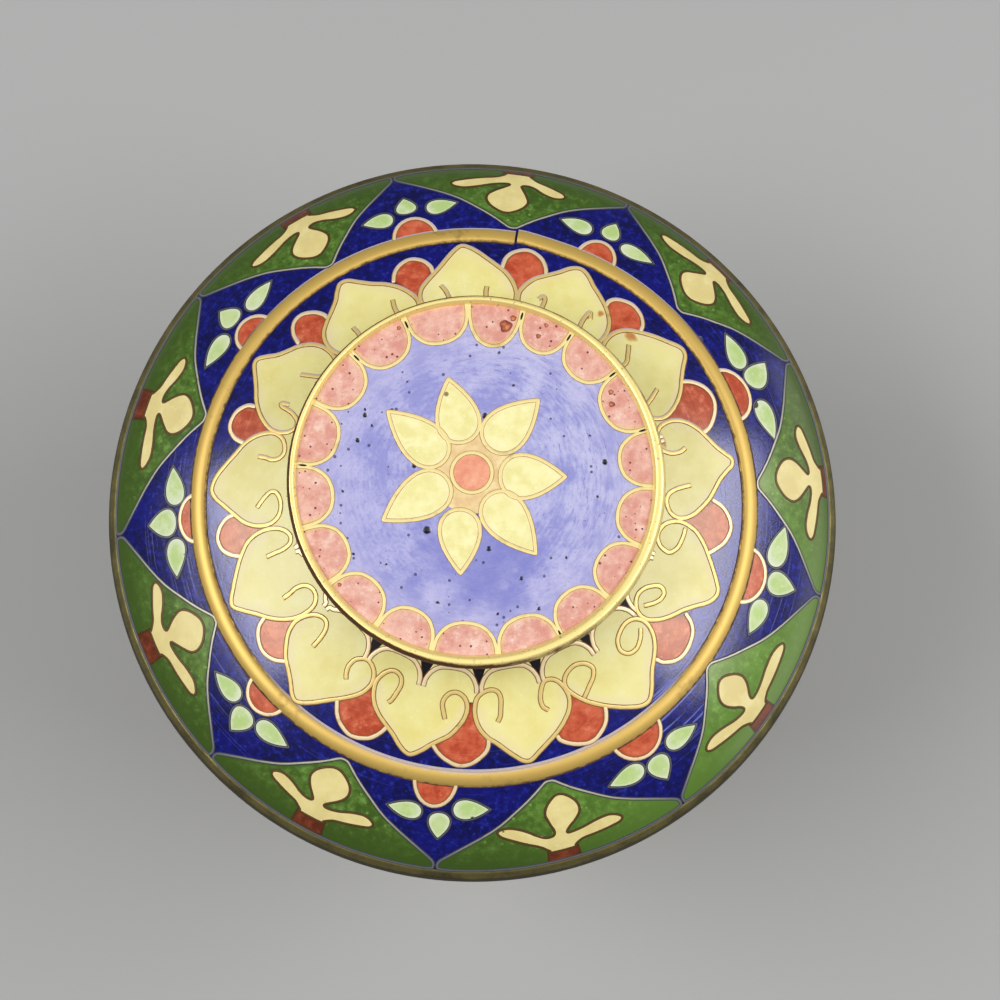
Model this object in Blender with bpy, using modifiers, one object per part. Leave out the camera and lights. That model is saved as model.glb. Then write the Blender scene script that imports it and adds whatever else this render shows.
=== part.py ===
"""A small cloisonne lidded urn: a footed copper bowl with a domed lid, both enamelled between brass rings.

The urn stands on its foot ring with the axis on +Z and the origin at the centre of its underside. Every
piece is turned about that axis, so each is an outline of (radius, height) points and a Screw modifier.
Neighbouring pieces keep a solder gap of 0.3 mm between them.
"""
import math

import bpy

# Driving dimensions, in metres
GAP = 0.0003              # space between pieces that are soldered or laid together
STEPS = 56                # flats round every turned piece
WALL = 0.0018             # copper wall with the enamel on it

LID_RADIUS = 0.0400       # outside of the lid's brass rim, the widest part of the urn
LID_HEIGHT = 0.0195       # from the lid's widest circle to the top of its knob
LID_LEVEL = 0.0550        # height of the lid's widest circle above the table
SEAT_LEVEL = 0.0540       # top of the mouth ring, where the lid rests

KNOB_FOOT_RADIUS = 0.0178  # knob collar where it stands on the dome
KNOB_RIM_RADIUS = 0.0186   # knob collar at its rim
KNOB_WALL = 0.0012         # width of the collar's rim
KNOB_FOOT_HEIGHT = 0.0120  # dome under the collar, above the lid's widest circle
PLATE_DEPTH = 0.0012       # enamelled plate below the collar's rim
PLATE_THICKNESS = 0.0012
LEDGE = 0.0010             # width of the ledge that carries the plate

BORDER_RADIUS = 0.0388    # edge of the enamel on the lid and at the urn's mouth
BORDER_HEIGHT = 0.0021    # the lid's enamel edge above its widest circle
RIM_INSIDE = 0.0376       # clear radius inside the lid's rim
CROWN_HEIGHT = 0.0134     # top of the dome, hidden in the knob

BAND_RADIUS = 0.0291      # middle of the heavy wire round the lid
BAND_WIDTH = 0.0015
BAND_SUNK = 0.0004        # how deep the wire lies in the enamel
BAND_PROUD = 0.00035      # how far it stands out
URN_BAND_LEVEL = 0.0290   # height of the like wire round the urn

COLLAR_OUTSIDE = 0.0372   # upright collar of the mouth ring, inside the lid's rim
COLLAR_INSIDE = 0.0361
COLLAR_TOP = 0.0559
MOUTH_RADIUS = 0.0395     # outside of the mouth ring
MOUTH_THICKNESS = 0.0019

FLOOR_RADIUS = 0.0160     # flat floor inside the urn

FOOT_HEIGHT = 0.0071      # foot ring
FOOT_RADIUS = 0.0218      # foot ring where it meets the table
FOOT_NECK_RADIUS = 0.0178  # foot ring under the urn
FOOT_WALL = 0.0018

ENAMEL_BLUE = (0.016, 0.018, 0.260, 1.0)
PERIWINKLE = (0.300, 0.320, 0.690, 1.0)
OLD_BRASS = (0.620, 0.400, 0.110, 1.0)


def bezier(start, pull_out, pull_in, end, count):
    """count + 1 points along the cubic curve from start to end, drawn towards its two pull points."""
    points = []
    for step in range(count + 1):
        t = step / count
        weights = ((1 - t) ** 3, 3 * t * (1 - t) ** 2, 3 * t * t * (1 - t), t ** 3)
        corners = (start, pull_out, pull_in, end)
        points.append(tuple(sum(w * c[axis] for w, c in zip(weights, corners)) for axis in (0, 1)))
    return points


def normals(points):
    """Unit normals of an outline that runs down its outer side, pointing out of the piece."""
    result = []
    for index in range(len(points)):
        before = points[max(index - 1, 0)]
        after = points[min(index + 1, len(points) - 1)]
        along = (after[0] - before[0], after[1] - before[1])
        length = math.hypot(*along)
        result.append((-along[1] / length, along[0] / length))
    return result


def inner_side(points, depth):
    """The same outline, moved into the piece by depth."""
    return [(r - depth * n[0], z - depth * n[1]) for (r, z), n in zip(points, normals(points))]


def place_on(points, where, axis):
    """The point and outward normal of an outline where its radius (axis 0) or height (axis 1) is where."""
    outward = normals(points)
    for index in range(len(points) - 1):
        low, high = sorted((points[index][axis], points[index + 1][axis]))
        if low <= where <= high:
            share = (where - points[index][axis]) / (points[index + 1][axis] - points[index][axis])
            pair = zip(points[index] + outward[index], points[index + 1] + outward[index + 1])
            r, z, out_r, out_z = (a + share * (b - a) for a, b in pair)
            return (r, z), (out_r, out_z)
    raise ValueError("the outline doesn't reach that place")


def beside(place, along, out):
    """The point that lies along the outline and out of it from a place on it."""
    (r, z), (out_r, out_z) = place
    return (r + along * out_z + out * out_r, z - along * out_r + out * out_z)


def grooved(points, place, axis):
    """An outline with the groove for a band wire cut into it at a place."""
    half = BAND_WIDTH / 2 + GAP
    depth = BAND_SUNK + GAP
    groove = [beside(place, -half, 0), beside(place, -half, -depth),
              beside(place, half, -depth), beside(place, half, 0)]
    sign = 1 if points[-1][axis] > points[0][axis] else -1
    upper = [p for p in points if sign * (p[axis] - groove[0][axis]) < 0]
    lower = [p for p in points if sign * (p[axis] - groove[3][axis]) > 0]
    return upper + groove + lower


def lid_curve(count):
    """The lid's enamel from the knob's foot down to the rim: 20 degrees steep at the knob, 45 at the rim."""
    start = (KNOB_FOOT_RADIUS, KNOB_FOOT_HEIGHT)
    end = (BORDER_RADIUS, BORDER_HEIGHT)
    shallow, steep = math.radians(20), math.radians(45)
    pull_out = (start[0] + 0.0100 * math.cos(shallow), start[1] - 0.0100 * math.sin(shallow))
    pull_in = (end[0] - 0.0040 * math.cos(steep), end[1] + 0.0040 * math.sin(steep))
    return [(r, z + LID_LEVEL) for r, z in bezier(start, pull_out, pull_in, end, count)]


def urn_curve(count):
    """The urn's enamel from under its mouth, out to a slight belly, and in to the foot."""
    top = (BORDER_RADIUS, SEAT_LEVEL - MOUTH_THICKNESS - GAP)
    bottom = (FOOT_NECK_RADIUS + 0.0006, FOOT_HEIGHT + GAP + 0.0010)
    return bezier(top, (0.0402, 0.0360), (0.0290, 0.0170), bottom, count)


def turned(name, outline, material, collection, ring=False):
    """One turned piece from its outline; a ring's outline closes on itself, others start and end on the axis."""
    edges = [(i, i + 1) for i in range(len(outline) - 1)]
    if ring:
        edges.append((len(outline) - 1, 0))
    mesh = bpy.data.meshes.new(name)
    mesh.from_pydata([(r, 0, z) for r, z in outline], edges, [])
    mesh.materials.append(material)
    piece = bpy.data.objects.new(name, mesh)
    collection.objects.link(piece)
    screw = piece.modifiers.new("Turn", "SCREW")
    screw.steps = STEPS
    screw.render_steps = STEPS
    screw.use_smooth_shade = True
    screw.use_merge_vertices = True
    screw.merge_threshold = 0.00001
    return piece


def finish(name, colour, roughness, metallic):
    material = bpy.data.materials.new(name)
    material.use_nodes = True
    shader = material.node_tree.nodes["Principled BSDF"]
    shader.inputs["Base Color"].default_value = colour
    shader.inputs["Roughness"].default_value = roughness
    shader.inputs["Metallic"].default_value = metallic
    return material


def lid_dome(material, collection):
    """Domed copper shell, open below, whose edge sits in the lid's rim."""
    flank = [p for p in lid_curve(9) if p[0] < BORDER_RADIUS - GAP]
    crown = bezier((0, LID_LEVEL + CROWN_HEIGHT), (0.008, LID_LEVEL + CROWN_HEIGHT),
                   (0.0140, LID_LEVEL + 0.0131), flank[0], 2)[:-1]
    edge_radius = BORDER_RADIUS - GAP - 0.0001
    edge = place_on(lid_curve(40), edge_radius, 0)[0]
    edge_foot = LID_LEVEL + 0.0013
    band = place_on(lid_curve(40), BAND_RADIUS, 0)
    inside = inner_side(crown + flank[::2], WALL)
    inside[0] = (0, inside[0][1])
    inside = [p for p in inside if p[0] < edge_radius - WALL]
    outline = crown + grooved(flank, band, 0) + [edge, (edge_radius, edge_foot)]
    outline += [(edge_radius - WALL + GAP, edge_foot)] + inside[::-1]
    return turned("lid_dome", outline, material, collection)


def lid_rim_ring(material, collection):
    """Brass ring round the lid's edge, quarter round outside, with a ledge inside that holds the dome."""
    outline = [(BORDER_RADIUS, LID_LEVEL + BORDER_HEIGHT - 0.0001),
               (LID_RADIUS - 0.0003, LID_LEVEL + 0.0012),
               (LID_RADIUS, LID_LEVEL),
               (LID_RADIUS - 0.0005, SEAT_LEVEL + GAP),
               (RIM_INSIDE, SEAT_LEVEL + GAP),
               (RIM_INSIDE, LID_LEVEL + 0.0010),
               (BORDER_RADIUS - 0.0001, LID_LEVEL + 0.0010)]
    return turned("lid_rim_ring", outline, material, collection, ring=True)


def band_wire(name, place, material, collection):
    """Heavy half-round wire let into the enamel at a place on an outline."""
    half = BAND_WIDTH / 2
    outline = [beside(place, -half, -BAND_SUNK), beside(place, -half * 0.75, BAND_PROUD * 0.6),
               beside(place, 0, BAND_PROUD), beside(place, half * 0.75, BAND_PROUD * 0.6),
               beside(place, half, -BAND_SUNK)]
    return turned(name, outline, material, collection, ring=True)


def knob_collar(material, collection):
    """Brass ring on the dome, a little wider at its rounded rim, with a ledge inside for the plate."""
    top = LID_LEVEL + LID_HEIGHT
    inside = KNOB_RIM_RADIUS - KNOB_WALL
    ledge = top - PLATE_DEPTH - PLATE_THICKNESS - GAP
    foot = LID_LEVEL + KNOB_FOOT_HEIGHT + GAP
    outline = [(inside + 0.0003, top), (KNOB_RIM_RADIUS - 0.0003, top),
               (KNOB_RIM_RADIUS, top - 0.0006), (KNOB_RIM_RADIUS - 0.0007, top - 0.0018),
               (KNOB_FOOT_RADIUS, foot),
               (inside - LEDGE, foot + 0.0005),
               (inside - LEDGE, ledge),
               (inside, ledge)]
    return turned("knob_collar", outline, material, collection, ring=True)


def knob_plate(material, collection):
    """Enamelled disc in the top of the knob, a shade lower in its middle than at its edge."""
    top = LID_LEVEL + LID_HEIGHT - PLATE_DEPTH
    edge = KNOB_RIM_RADIUS - KNOB_WALL - GAP
    outline = [(0, top - 0.0002), (edge * 0.6, top - 0.0001), (edge, top),
               (edge, top - PLATE_THICKNESS), (0, top - PLATE_THICKNESS)]
    return turned("knob_plate", outline, material, collection)


def mouth_ring(material, collection):
    """Brass ring on the urn's mouth: a flat seat for the lid, and an upright collar that keeps it in place."""
    bottom = SEAT_LEVEL - MOUTH_THICKNESS
    outline = [(COLLAR_INSIDE, COLLAR_TOP), (COLLAR_OUTSIDE, COLLAR_TOP), (COLLAR_OUTSIDE, SEAT_LEVEL),
               (MOUTH_RADIUS, SEAT_LEVEL), (MOUTH_RADIUS, bottom + 0.0005),
               (BORDER_RADIUS, bottom), (COLLAR_INSIDE, bottom)]
    return turned("mouth_ring", outline, material, collection, ring=True)


def urn_body(material, collection):
    """Copper bowl, open at the mouth, with an even wall and a flat floor."""
    flank = urn_curve(12)
    band = place_on(urn_curve(40), URN_BAND_LEVEL, 1)
    under = FOOT_HEIGHT + GAP
    inside = inner_side(flank[::2], WALL)
    inside = [p for p in inside if p[1] > under + WALL + 0.0010]
    mouth = (flank[0][0] - WALL, flank[0][1])
    inside[0] = mouth
    floor = [(0, under + WALL), (FLOOR_RADIUS, under + WALL)]
    outline = floor + inside[::-1] + grooved(flank, band, 1)
    outline += [(FOOT_NECK_RADIUS - 0.0006, under), (0, under)]
    return turned("urn_body", outline, material, collection)


def foot_ring(material, collection):
    """Brass ring that spreads from the urn's base to a flat foot on the table."""
    neck = bezier((FOOT_NECK_RADIUS, FOOT_HEIGHT), (FOOT_NECK_RADIUS, 0.0040),
                  (0.0190, 0.0018), (FOOT_RADIUS, 0.0014), 3)
    outline = neck + [(FOOT_RADIUS, 0.0003), (FOOT_RADIUS - 0.0003, 0), (FOOT_RADIUS - 0.0024, 0),
                      (FOOT_NECK_RADIUS - FOOT_WALL, FOOT_HEIGHT)]
    return turned("foot_ring", outline, material, collection, ring=True)


def main():
    for old in list(bpy.data.objects):
        bpy.data.objects.remove(old, do_unlink=True)
    urn = bpy.data.collections.new("cloisonne_lidded_urn")
    bpy.context.scene.collection.children.link(urn)

    enamel = finish("enamel", ENAMEL_BLUE, 0.15, 0.0)
    plate_enamel = finish("plate_enamel", PERIWINKLE, 0.40, 0.0)
    brass = finish("brass", OLD_BRASS, 0.35, 1.0)

    foot_ring(brass, urn)
    urn_body(enamel, urn)
    band_wire("urn_band_wire", place_on(urn_curve(40), URN_BAND_LEVEL, 1), brass, urn)
    mouth_ring(brass, urn)
    lid_rim_ring(brass, urn)
    lid_dome(enamel, urn)
    band_wire("lid_band_wire", place_on(lid_curve(40), BAND_RADIUS, 0), brass, urn)
    knob_collar(brass, urn)
    knob_plate(plate_enamel, urn)


main()
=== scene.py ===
"""Visual model of a small cloisonne lidded urn: enamelled copper in wired fields, between brass rings."""

import bmesh
import bpy
import numpy as np
from mathutils import Euler, Matrix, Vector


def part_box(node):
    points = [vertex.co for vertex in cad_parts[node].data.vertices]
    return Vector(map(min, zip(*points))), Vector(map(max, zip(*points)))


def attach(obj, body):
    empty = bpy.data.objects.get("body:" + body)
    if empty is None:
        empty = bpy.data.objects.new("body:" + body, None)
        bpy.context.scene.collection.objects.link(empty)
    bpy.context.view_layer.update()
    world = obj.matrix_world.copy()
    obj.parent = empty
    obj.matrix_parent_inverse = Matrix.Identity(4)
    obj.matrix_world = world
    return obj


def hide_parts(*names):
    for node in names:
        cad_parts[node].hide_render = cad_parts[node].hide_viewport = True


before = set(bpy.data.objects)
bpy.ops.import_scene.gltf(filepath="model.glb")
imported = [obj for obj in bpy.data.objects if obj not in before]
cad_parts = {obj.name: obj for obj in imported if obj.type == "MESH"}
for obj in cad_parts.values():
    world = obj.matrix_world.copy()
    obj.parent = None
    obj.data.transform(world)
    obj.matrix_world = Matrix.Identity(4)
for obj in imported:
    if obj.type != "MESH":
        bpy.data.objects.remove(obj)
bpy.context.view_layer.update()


# ------------------------------------------------------------
# Table and light. The urn stands on a plain pale table between two large soft boxes, left and right, whose
# light lies as a haze on the flanks of the lid, under a wide soft light from above.

CAMERA_PLACE = (-0.00215, -0.03318, 0.23189)
CAMERA_TURN = (0.1090, -0.0280, 0.0)
CAMERA_LENS = 58.66
CAMERA_RISE = 0.14
CAMERA_NEAR = 0.01
LID_HEIGHT = 0.06
TABLE_HALF = 9.0
TABLE_GREY = (0.40, 0.40, 0.395, 1)
TABLE_ROUGHNESS = 0.85
SKY = (0.80, 0.82, 0.85, 1)
SKY_STRENGTH = 0.12

table = bpy.data.meshes.new("table")
table.from_pydata([(x * TABLE_HALF, y * TABLE_HALF, 0.0) for x, y in ((-1, -1), (1, -1), (1, 1), (-1, 1))],
                  [], [(0, 1, 2, 3)])
table_top = bpy.data.objects.new("table", table)
bpy.context.scene.collection.objects.link(table_top)
table_paint = bpy.data.materials.new("table_paint")
table_paint.use_nodes = True
table_shader = table_paint.node_tree.nodes["Principled BSDF"]
table_shader.inputs["Base Color"].default_value = TABLE_GREY
table_shader.inputs["Roughness"].default_value = TABLE_ROUGHNESS
table.materials.append(table_paint)

camera = bpy.data.objects.new("camera", bpy.data.cameras.new("camera"))
bpy.context.scene.collection.objects.link(camera)
camera.location = CAMERA_PLACE
camera.rotation_euler = Euler(CAMERA_TURN)
camera.data.lens = CAMERA_LENS
camera.data.shift_y = CAMERA_RISE
camera.data.clip_start = CAMERA_NEAR
bpy.context.scene.camera = camera


def soft_light(name, turn, rise, away, width, depth, roll, watts):
    """A rectangular light that faces the lid from away metres, at turn degrees clockwise from the back and
    rise degrees up, rolled about its own axis."""
    turn, rise = np.radians(turn), np.radians(rise)
    lamp = bpy.data.lights.new(name, "AREA")
    lamp.shape = "RECTANGLE"
    lamp.size, lamp.size_y, lamp.energy = width, depth, watts
    light = bpy.data.objects.new(name, lamp)
    bpy.context.scene.collection.objects.link(light)
    light.location = (away * np.cos(rise) * np.sin(turn), away * np.cos(rise) * np.cos(turn),
                      LID_HEIGHT + away * np.sin(rise))
    facing = Euler((np.pi / 2 - rise, 0, np.pi - turn)).to_matrix()
    light.rotation_euler = (facing @ Matrix.Rotation(np.radians(roll), 3, "Z")).to_euler()


soft_light("light_right", 89, 44.8, 0.55, 0.47, 0.231, -14, 2.0)
soft_light("light_left", 268, 49.4, 0.55, 0.389, 0.231, 16, 2.1)
soft_light("light_low", 90, 8, 0.62, 0.90, 0.20, 0, 0.5)
soft_light("light_above", 180, 86, 0.70, 0.80, 0.70, 0, 1.2)

world = bpy.data.worlds.new("studio")
world.use_nodes = True
world.node_tree.nodes["Background"].inputs["Color"].default_value = SKY
world.node_tree.nodes["Background"].inputs["Strength"].default_value = SKY_STRENGTH
bpy.context.scene.world = world
bpy.context.scene.view_settings.view_transform = "Standard"


# ------------------------------------------------------------
# Foot ring. A brass ring spun to a spreading foot, soldered under the bowl. Its top is bright where it
# faces up, as painted light from above and as wear from dusting, and its underside and inside are brown.

MM = 0.001


class Shade:
    """A value in a material's nodes. Arithmetic on it adds Math nodes, and node() adds any other node."""

    def __init__(self, tree, socket=None):
        self.tree, self.socket = tree, socket

    def node(self, kind, settings=None, sockets=None, out=0):
        """A node of a kind: its settings are set first, then the values and links of its sockets."""
        made = self.tree.nodes.new("ShaderNode" + kind)
        for name, value in (settings or {}).items():
            setattr(made, name, value)
        for name, value in (sockets or {}).items():
            if isinstance(value, Shade):
                self.tree.links.new(value.socket, made.inputs[name])
            else:
                made.inputs[name].default_value = value
        return Shade(self.tree, made.outputs[out])

    def also(self, out):
        """Another output of the same node."""
        return Shade(self.tree, self.socket.node.outputs[out])

    def mark(self, name):
        """A number that the piece's mesh carries under this name."""
        return self.node("Attribute", {"attribute_name": name}, out="Fac")

    def maths(self, operation, *values):
        return self.node("Math", {"operation": operation}, dict(enumerate(values)))

    def __add__(self, other):
        return self.maths("ADD", self, other)

    def __sub__(self, other):
        return self.maths("SUBTRACT", self, other)

    def __rsub__(self, other):
        return self.maths("SUBTRACT", other, self)

    def __mul__(self, other):
        return self.maths("MULTIPLY", self, other)

    def __pow__(self, other):
        return self.maths("POWER", self, other)

    def __abs__(self):
        return self.maths("ABSOLUTE", self)

    __radd__, __rmul__ = __add__, __mul__

    def between(self, low, high):
        """0 where the value is low, 1 where it is high, and eased from one to the other."""
        return self.node("MapRange", {"interpolation_type": "SMOOTHSTEP"},
                         {"Value": self, "From Min": low, "From Max": high})

    def blend(self, first, second):
        """The colour between first and second, by this value. Both are shades or 0 to 255 screen values."""
        first, second = (tone if isinstance(tone, Shade) else paint(tone) for tone in (first, second))
        return self.node("Mix", {"data_type": "RGBA"}, {0: self, 6: first, 7: second}, out=2)


def paint(screen):
    """A shader's colour from 0 to 255 screen values."""
    screen = np.array(screen) / 255
    return tuple(np.where(screen > 0.04045, ((screen + 0.055) / 1.055) ** 2.4, screen / 12.92)) + (1.0,)


def new_material(name):
    """A material, its shader, and the place on the piece, to read the pattern at."""
    material = bpy.data.materials.new(name)
    material.use_nodes = True
    where = Shade(material.node_tree).node("TexCoord", out="Object")
    return material, material.node_tree.nodes["Principled BSDF"], where


def feed(shader, **values):
    """Sets or links the shader's sockets: Base_Color stands for Base Color."""
    tree = shader.id_data
    for name, value in values.items():
        socket = shader.inputs[name.replace("_", " ")]
        if isinstance(value, Shade):
            tree.links.new(value.socket, socket)
        else:
            socket.default_value = value


def noise(where, scale, detail=3.0, roughness=0.55):
    """Clouds of values about 0.5, scale of them to the metre."""
    return where.node("TexNoise", None, {"Vector": where, "Scale": scale, "Detail": detail,
                                         "Roughness": roughness})


def round_the_axis(where, rings, spokes):
    """Coordinates that run out from the axis and round it, so that noise on them lies in rings."""
    x = where.node("SeparateXYZ", None, {"Vector": where})
    y, z = x.also("Y"), x.also("Z")
    radius = (x * x + y * y) ** 0.5
    turn = x.maths("ARCTAN2", y, x)
    return where.node("CombineXYZ", None, {"X": radius * rings, "Y": turn * spokes, "Z": z * rings})


def bumped(height, strength, depth):
    """A normal that follows the height, where 1 stands for depth metres."""
    return height.node("Bump", None, {"Strength": strength, "Distance": depth, "Height": height})


def old_brass(name, bright, brown, bright_from, bright_to, gloss=0.32, polish=1.0):
    """Brass that is bright where it faces up, as painted light from above, and where it is rubbed, else
    brown, with turning marks and spots.
    """
    material, shader, where = new_material(name)
    clouds = noise(where, 420, 4)
    spots = noise(where, 2600, 3)
    lines = noise(round_the_axis(where, 9000, 3), 1.0, 2)
    # Painted light: the more a surface faces up, the brighter and more metallic it is painted, with clouds
    # of wear mixed in.
    rubbed_and_lit = (where.mark("facing") + (clouds - 0.5) * 0.9 + (spots - 0.5) * 0.35).between(bright_from, bright_to)
    tone = rubbed_and_lit.blend(brown, bright)
    tone = (spots.between(0.62, 0.72) * 0.55).blend(tone, brown)
    feed(shader, Base_Color=tone, Metallic=(rubbed_and_lit * 0.7 + 0.3) * polish,
         Roughness=(1 - rubbed_and_lit) * 0.22 + gloss + (lines - 0.5) * 0.2,
         Normal=bumped(lines * 0.4 + spots * 0.3 + clouds * 0.3, 0.5, 0.00003))
    return material


def size_of(vectors):
    """The length of each vector: the root of the sum of its squares."""
    return np.linalg.norm(vectors, axis=-1, keepdims=True)


def unit(vectors):
    """Each vector divided by its length."""
    return vectors / np.maximum(size_of(vectors), 1e-12)


def eased(outline, size, count=4, closed=True):
    """The outline with each corner replaced by a curve that leaves its two sides at size from it."""
    points = np.asarray(outline, float)
    lead, leave = (points + unit(way) * np.minimum(size, size_of(way) * 0.45)
                   for way in (np.roll(points, 1, 0) - points, np.roll(points, -1, 0) - points))
    t = np.linspace(0, 1, count)[None, :, None]
    curve = (1 - t) ** 2 * lead[:, None] + 2 * t * (1 - t) * points[:, None] + t ** 2 * leave[:, None]
    if closed:
        return curve.reshape(-1, 2)
    return np.concatenate([points[:1], curve[1:-1].reshape(-1, 2), points[-1:]])


def grid_faces(rows, columns, wrap_rows=False, wrap_columns=False, start=0):
    """Quads of a grid of vertices stored row by row; a wrapped side joins its last line to its first."""
    i = np.arange(rows if wrap_rows else rows - 1)[:, None]
    j = np.arange(columns if wrap_columns else columns - 1)[None, :]
    i_next, j_next = (i + 1) % rows, (j + 1) % columns
    quads = np.stack(np.broadcast_arrays(i * columns + j, i * columns + j_next,
                                         i_next * columns + j_next, i_next * columns + j), -1)
    return quads.reshape(-1, 4) + start


SHARP = np.radians(50)


def make_piece(name, vertices, faces, material, node_slot, replaced=(), **marks):
    """An object from arrays of vertices and faces, with doubles merged, which rides on the urn. Each mark
    is an array of one number for every vertex, which the material reads by its name."""
    mesh = bpy.data.meshes.new(name)
    mesh.from_pydata(vertices.tolist(), [], [face for block in faces for face in block.tolist()])
    for mark, values in marks.items():
        mesh.attributes.new(mark, "FLOAT", "POINT").data.foreach_set("value", values.astype(np.float32))
    tidy = bmesh.new()
    tidy.from_mesh(mesh)
    bmesh.ops.remove_doubles(tidy, verts=tidy.verts, dist=1e-7)
    if all(edge.is_manifold for edge in tidy.edges):
        bmesh.ops.recalc_face_normals(tidy, faces=tidy.faces)
    tidy.to_mesh(mesh)
    tidy.free()
    mesh.polygons.foreach_set("use_smooth", np.ones(len(mesh.polygons), bool))
    mesh.set_sharp_from_angle(angle=SHARP)
    mesh.materials.append(material)
    piece = bpy.data.objects.new(name, mesh)
    bpy.context.scene.collection.objects.link(piece)
    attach(piece, "root")
    if replaced:
        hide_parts(*replaced)
    return piece


TURN_STEPS = 320


def turned(name, outline, material, node_slot, replaced=(), ring=True):
    """An outline of (radius, height) in mm turned about +Z: point (i, j) is outline point j at turn i. Its
    mark says how far each point faces up: the height part of the outline's outward normal."""
    outline = np.asarray(outline, float) * MM
    turn = np.arange(TURN_STEPS)[:, None] * 2 * np.pi / TURN_STEPS
    radius, height = outline[None, :, 0], outline[None, :, 1]
    vertices = np.stack(np.broadcast_arrays(radius * np.cos(turn), radius * np.sin(turn), height), -1)
    after, before = np.roll(outline, -1, 0), np.roll(outline, 1, 0)
    area = (outline[:, 0] * after[:, 1] - after[:, 0] * outline[:, 1]).sum()
    faces = grid_faces(TURN_STEPS, len(outline), wrap_rows=True, wrap_columns=ring)
    return make_piece(name, vertices.reshape(-1, 3), [faces], material, node_slot, replaced,
                      facing=np.tile(-np.sign(area) * unit(after - before)[:, 0], TURN_STEPS))


def bezier(start, pull_out, pull_in, end, count=400):
    """count + 1 points of the cubic curve from start to end, drawn towards its two pull points."""
    t = np.linspace(0, 1, count + 1)[:, None]
    start, pull_out, pull_in, end = map(np.asarray, (start, pull_out, pull_in, end))
    return ((1 - t) ** 3 * start + 3 * t * (1 - t) ** 2 * pull_out + 3 * t * t * (1 - t) * pull_in
            + t ** 3 * end)


ring_brass = old_brass("ring_brass", (200, 150, 78), (62, 40, 20), -0.15, 1.15, gloss=0.34)

foot_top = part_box("foot_ring")[1][2] / MM
foot_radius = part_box("foot_ring")[1][0] / MM
NECK = 17.8
neck = bezier((NECK, foot_top), (NECK, 4.0), (19.0, 1.8), (foot_radius, 1.4), 12)
foot_outline = np.concatenate([neck, [(foot_radius, 0.0), (19.4, 0.0), (16.0, foot_top)]])
turned("foot", eased(foot_outline, 0.25, 3), ring_brass, "brass", ("foot_ring",))


# ------------------------------------------------------------
# Bowl. A raised copper bowl under cobalt enamel, fired in several coats and ground smooth round the axis,
# which leaves fine rings in the gloss, a few pinholes, and pale specks.

WALL = 1.8
RIM_HEIGHT = 0.0545


def near_rim(where, wander):
    """1 at the height of the lid's rim, down to 0 from 7 mm above or below it, with a wandering edge."""
    rise = where.node("SeparateXYZ", None, {"Vector": where}, out="Z")
    return (abs(rise - RIM_HEIGHT) + (wander - 0.5) * 0.002).between(0.0070, 0.0028)


def near(where, place, none, full):
    """1 up to full metres from a place, down to 0 at none metres from it."""
    away = where.node("VectorMath", {"operation": "DISTANCE"}, {0: where, 1: place}, out="Value")
    return away.between(none, full)


def scattered(where, scale):
    """Points strewn at a scale: how far the nearest one is, and a number drawn by chance for it."""
    cells = where.node("TexVoronoi", None, {"Vector": where, "Scale": scale})
    return cells, cells.node("SeparateColor", None, {"Color": cells.also("Color")})


def enamel(name, deep, body, pale, grain=650, pinholes=0.10, hole_size=0.16, rings=0.5, rough=0.20,
           specks=0.35, hole=(30, 22, 40), hole_grid=330, rim_painted_shade=None, edge=None, edge_from=0.8,
           ior=1.6, tint=(1, 1, 1, 1), scuff=None, painted_light=None):
    """Ground enamel: three shades in clouds, fine specks, pinholes and the rings of the last grinding, and
    another shade along the edge of its field, where it is thin or has taken up oxide from the wire, and
    which where darker also stands for painted shade beside the wire. Round the place scuff the polish is
    scored by a few coarse pale strokes. Near the lid's rim a darker shade may be laid as painted shade, and
    round a given place a given brighter tone may be laid as painted light."""
    material, shader, where = new_material(name)
    clouds = noise(where, grain, 5, 0.62)
    broad = noise(where, grain * 0.16, 2)
    fine = noise(where, 5200, 2, 0.7)
    tone = (clouds * 0.7 + broad * 0.3).between(0.38, 0.58).blend(deep, body)
    tone = ((clouds * 0.8 + fine * 0.2).between(0.53, 0.70) * 0.6).blend(tone, pale)
    if edge:
        across = where.mark("across") + (clouds - 0.5) * 0.3
        tone = (across.between(edge_from, 1.0) * 0.85).blend(tone, edge)
    grit, chance = scattered(where, 1700)
    tone = ((1 - grit.between(0.18, 0.34)) * chance.between(0.80, 0.90) * specks).blend(tone, pale)
    cells, luck = scattered(where, hole_grid)
    holes = (luck.between(1 - pinholes, 1.0) * hole_size - cells).between(0.0, 0.035)
    tone = holes.blend(tone, hole)
    scratches = noise(round_the_axis(where, 7000, 2.2), 1.0, 2).between(0.60, 0.72) * rings
    tone = (scratches * 0.22).blend(tone, pale)
    if scuff:
        strokes = noise(round_the_axis(where, 3000, 2.0), 1.0, 2).between(0.53, 0.60)
        tone = (near(where, scuff, 0.0042, 0.0026) * strokes * 0.6).blend(tone, (136, 146, 232))
    # Painted shade: near the height of the lid's rim the colour goes to a darker shade, where the surface
    # turns away from the light.
    if rim_painted_shade:
        tone = near_rim(where, clouds).blend(tone, rim_painted_shade)
    # Painted light: round the given place the field is made brighter, where the right-hand lamp falls on it.
    if painted_light:
        tone = (near(where, painted_light[0], 0.034, 0.010) * 0.2).blend(tone, painted_light[1])
    height = clouds * 0.35 + fine * 0.12 - holes * 1.5 - scratches * 0.25
    feed(shader, Base_Color=tone, Normal=bumped(height, 0.55, 0.00004), IOR=ior, Specular_Tint=tint,
         Roughness=(fine - 0.5) * 0.12 + rough + scratches * 0.22 + holes * 0.4)
    return material


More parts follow.
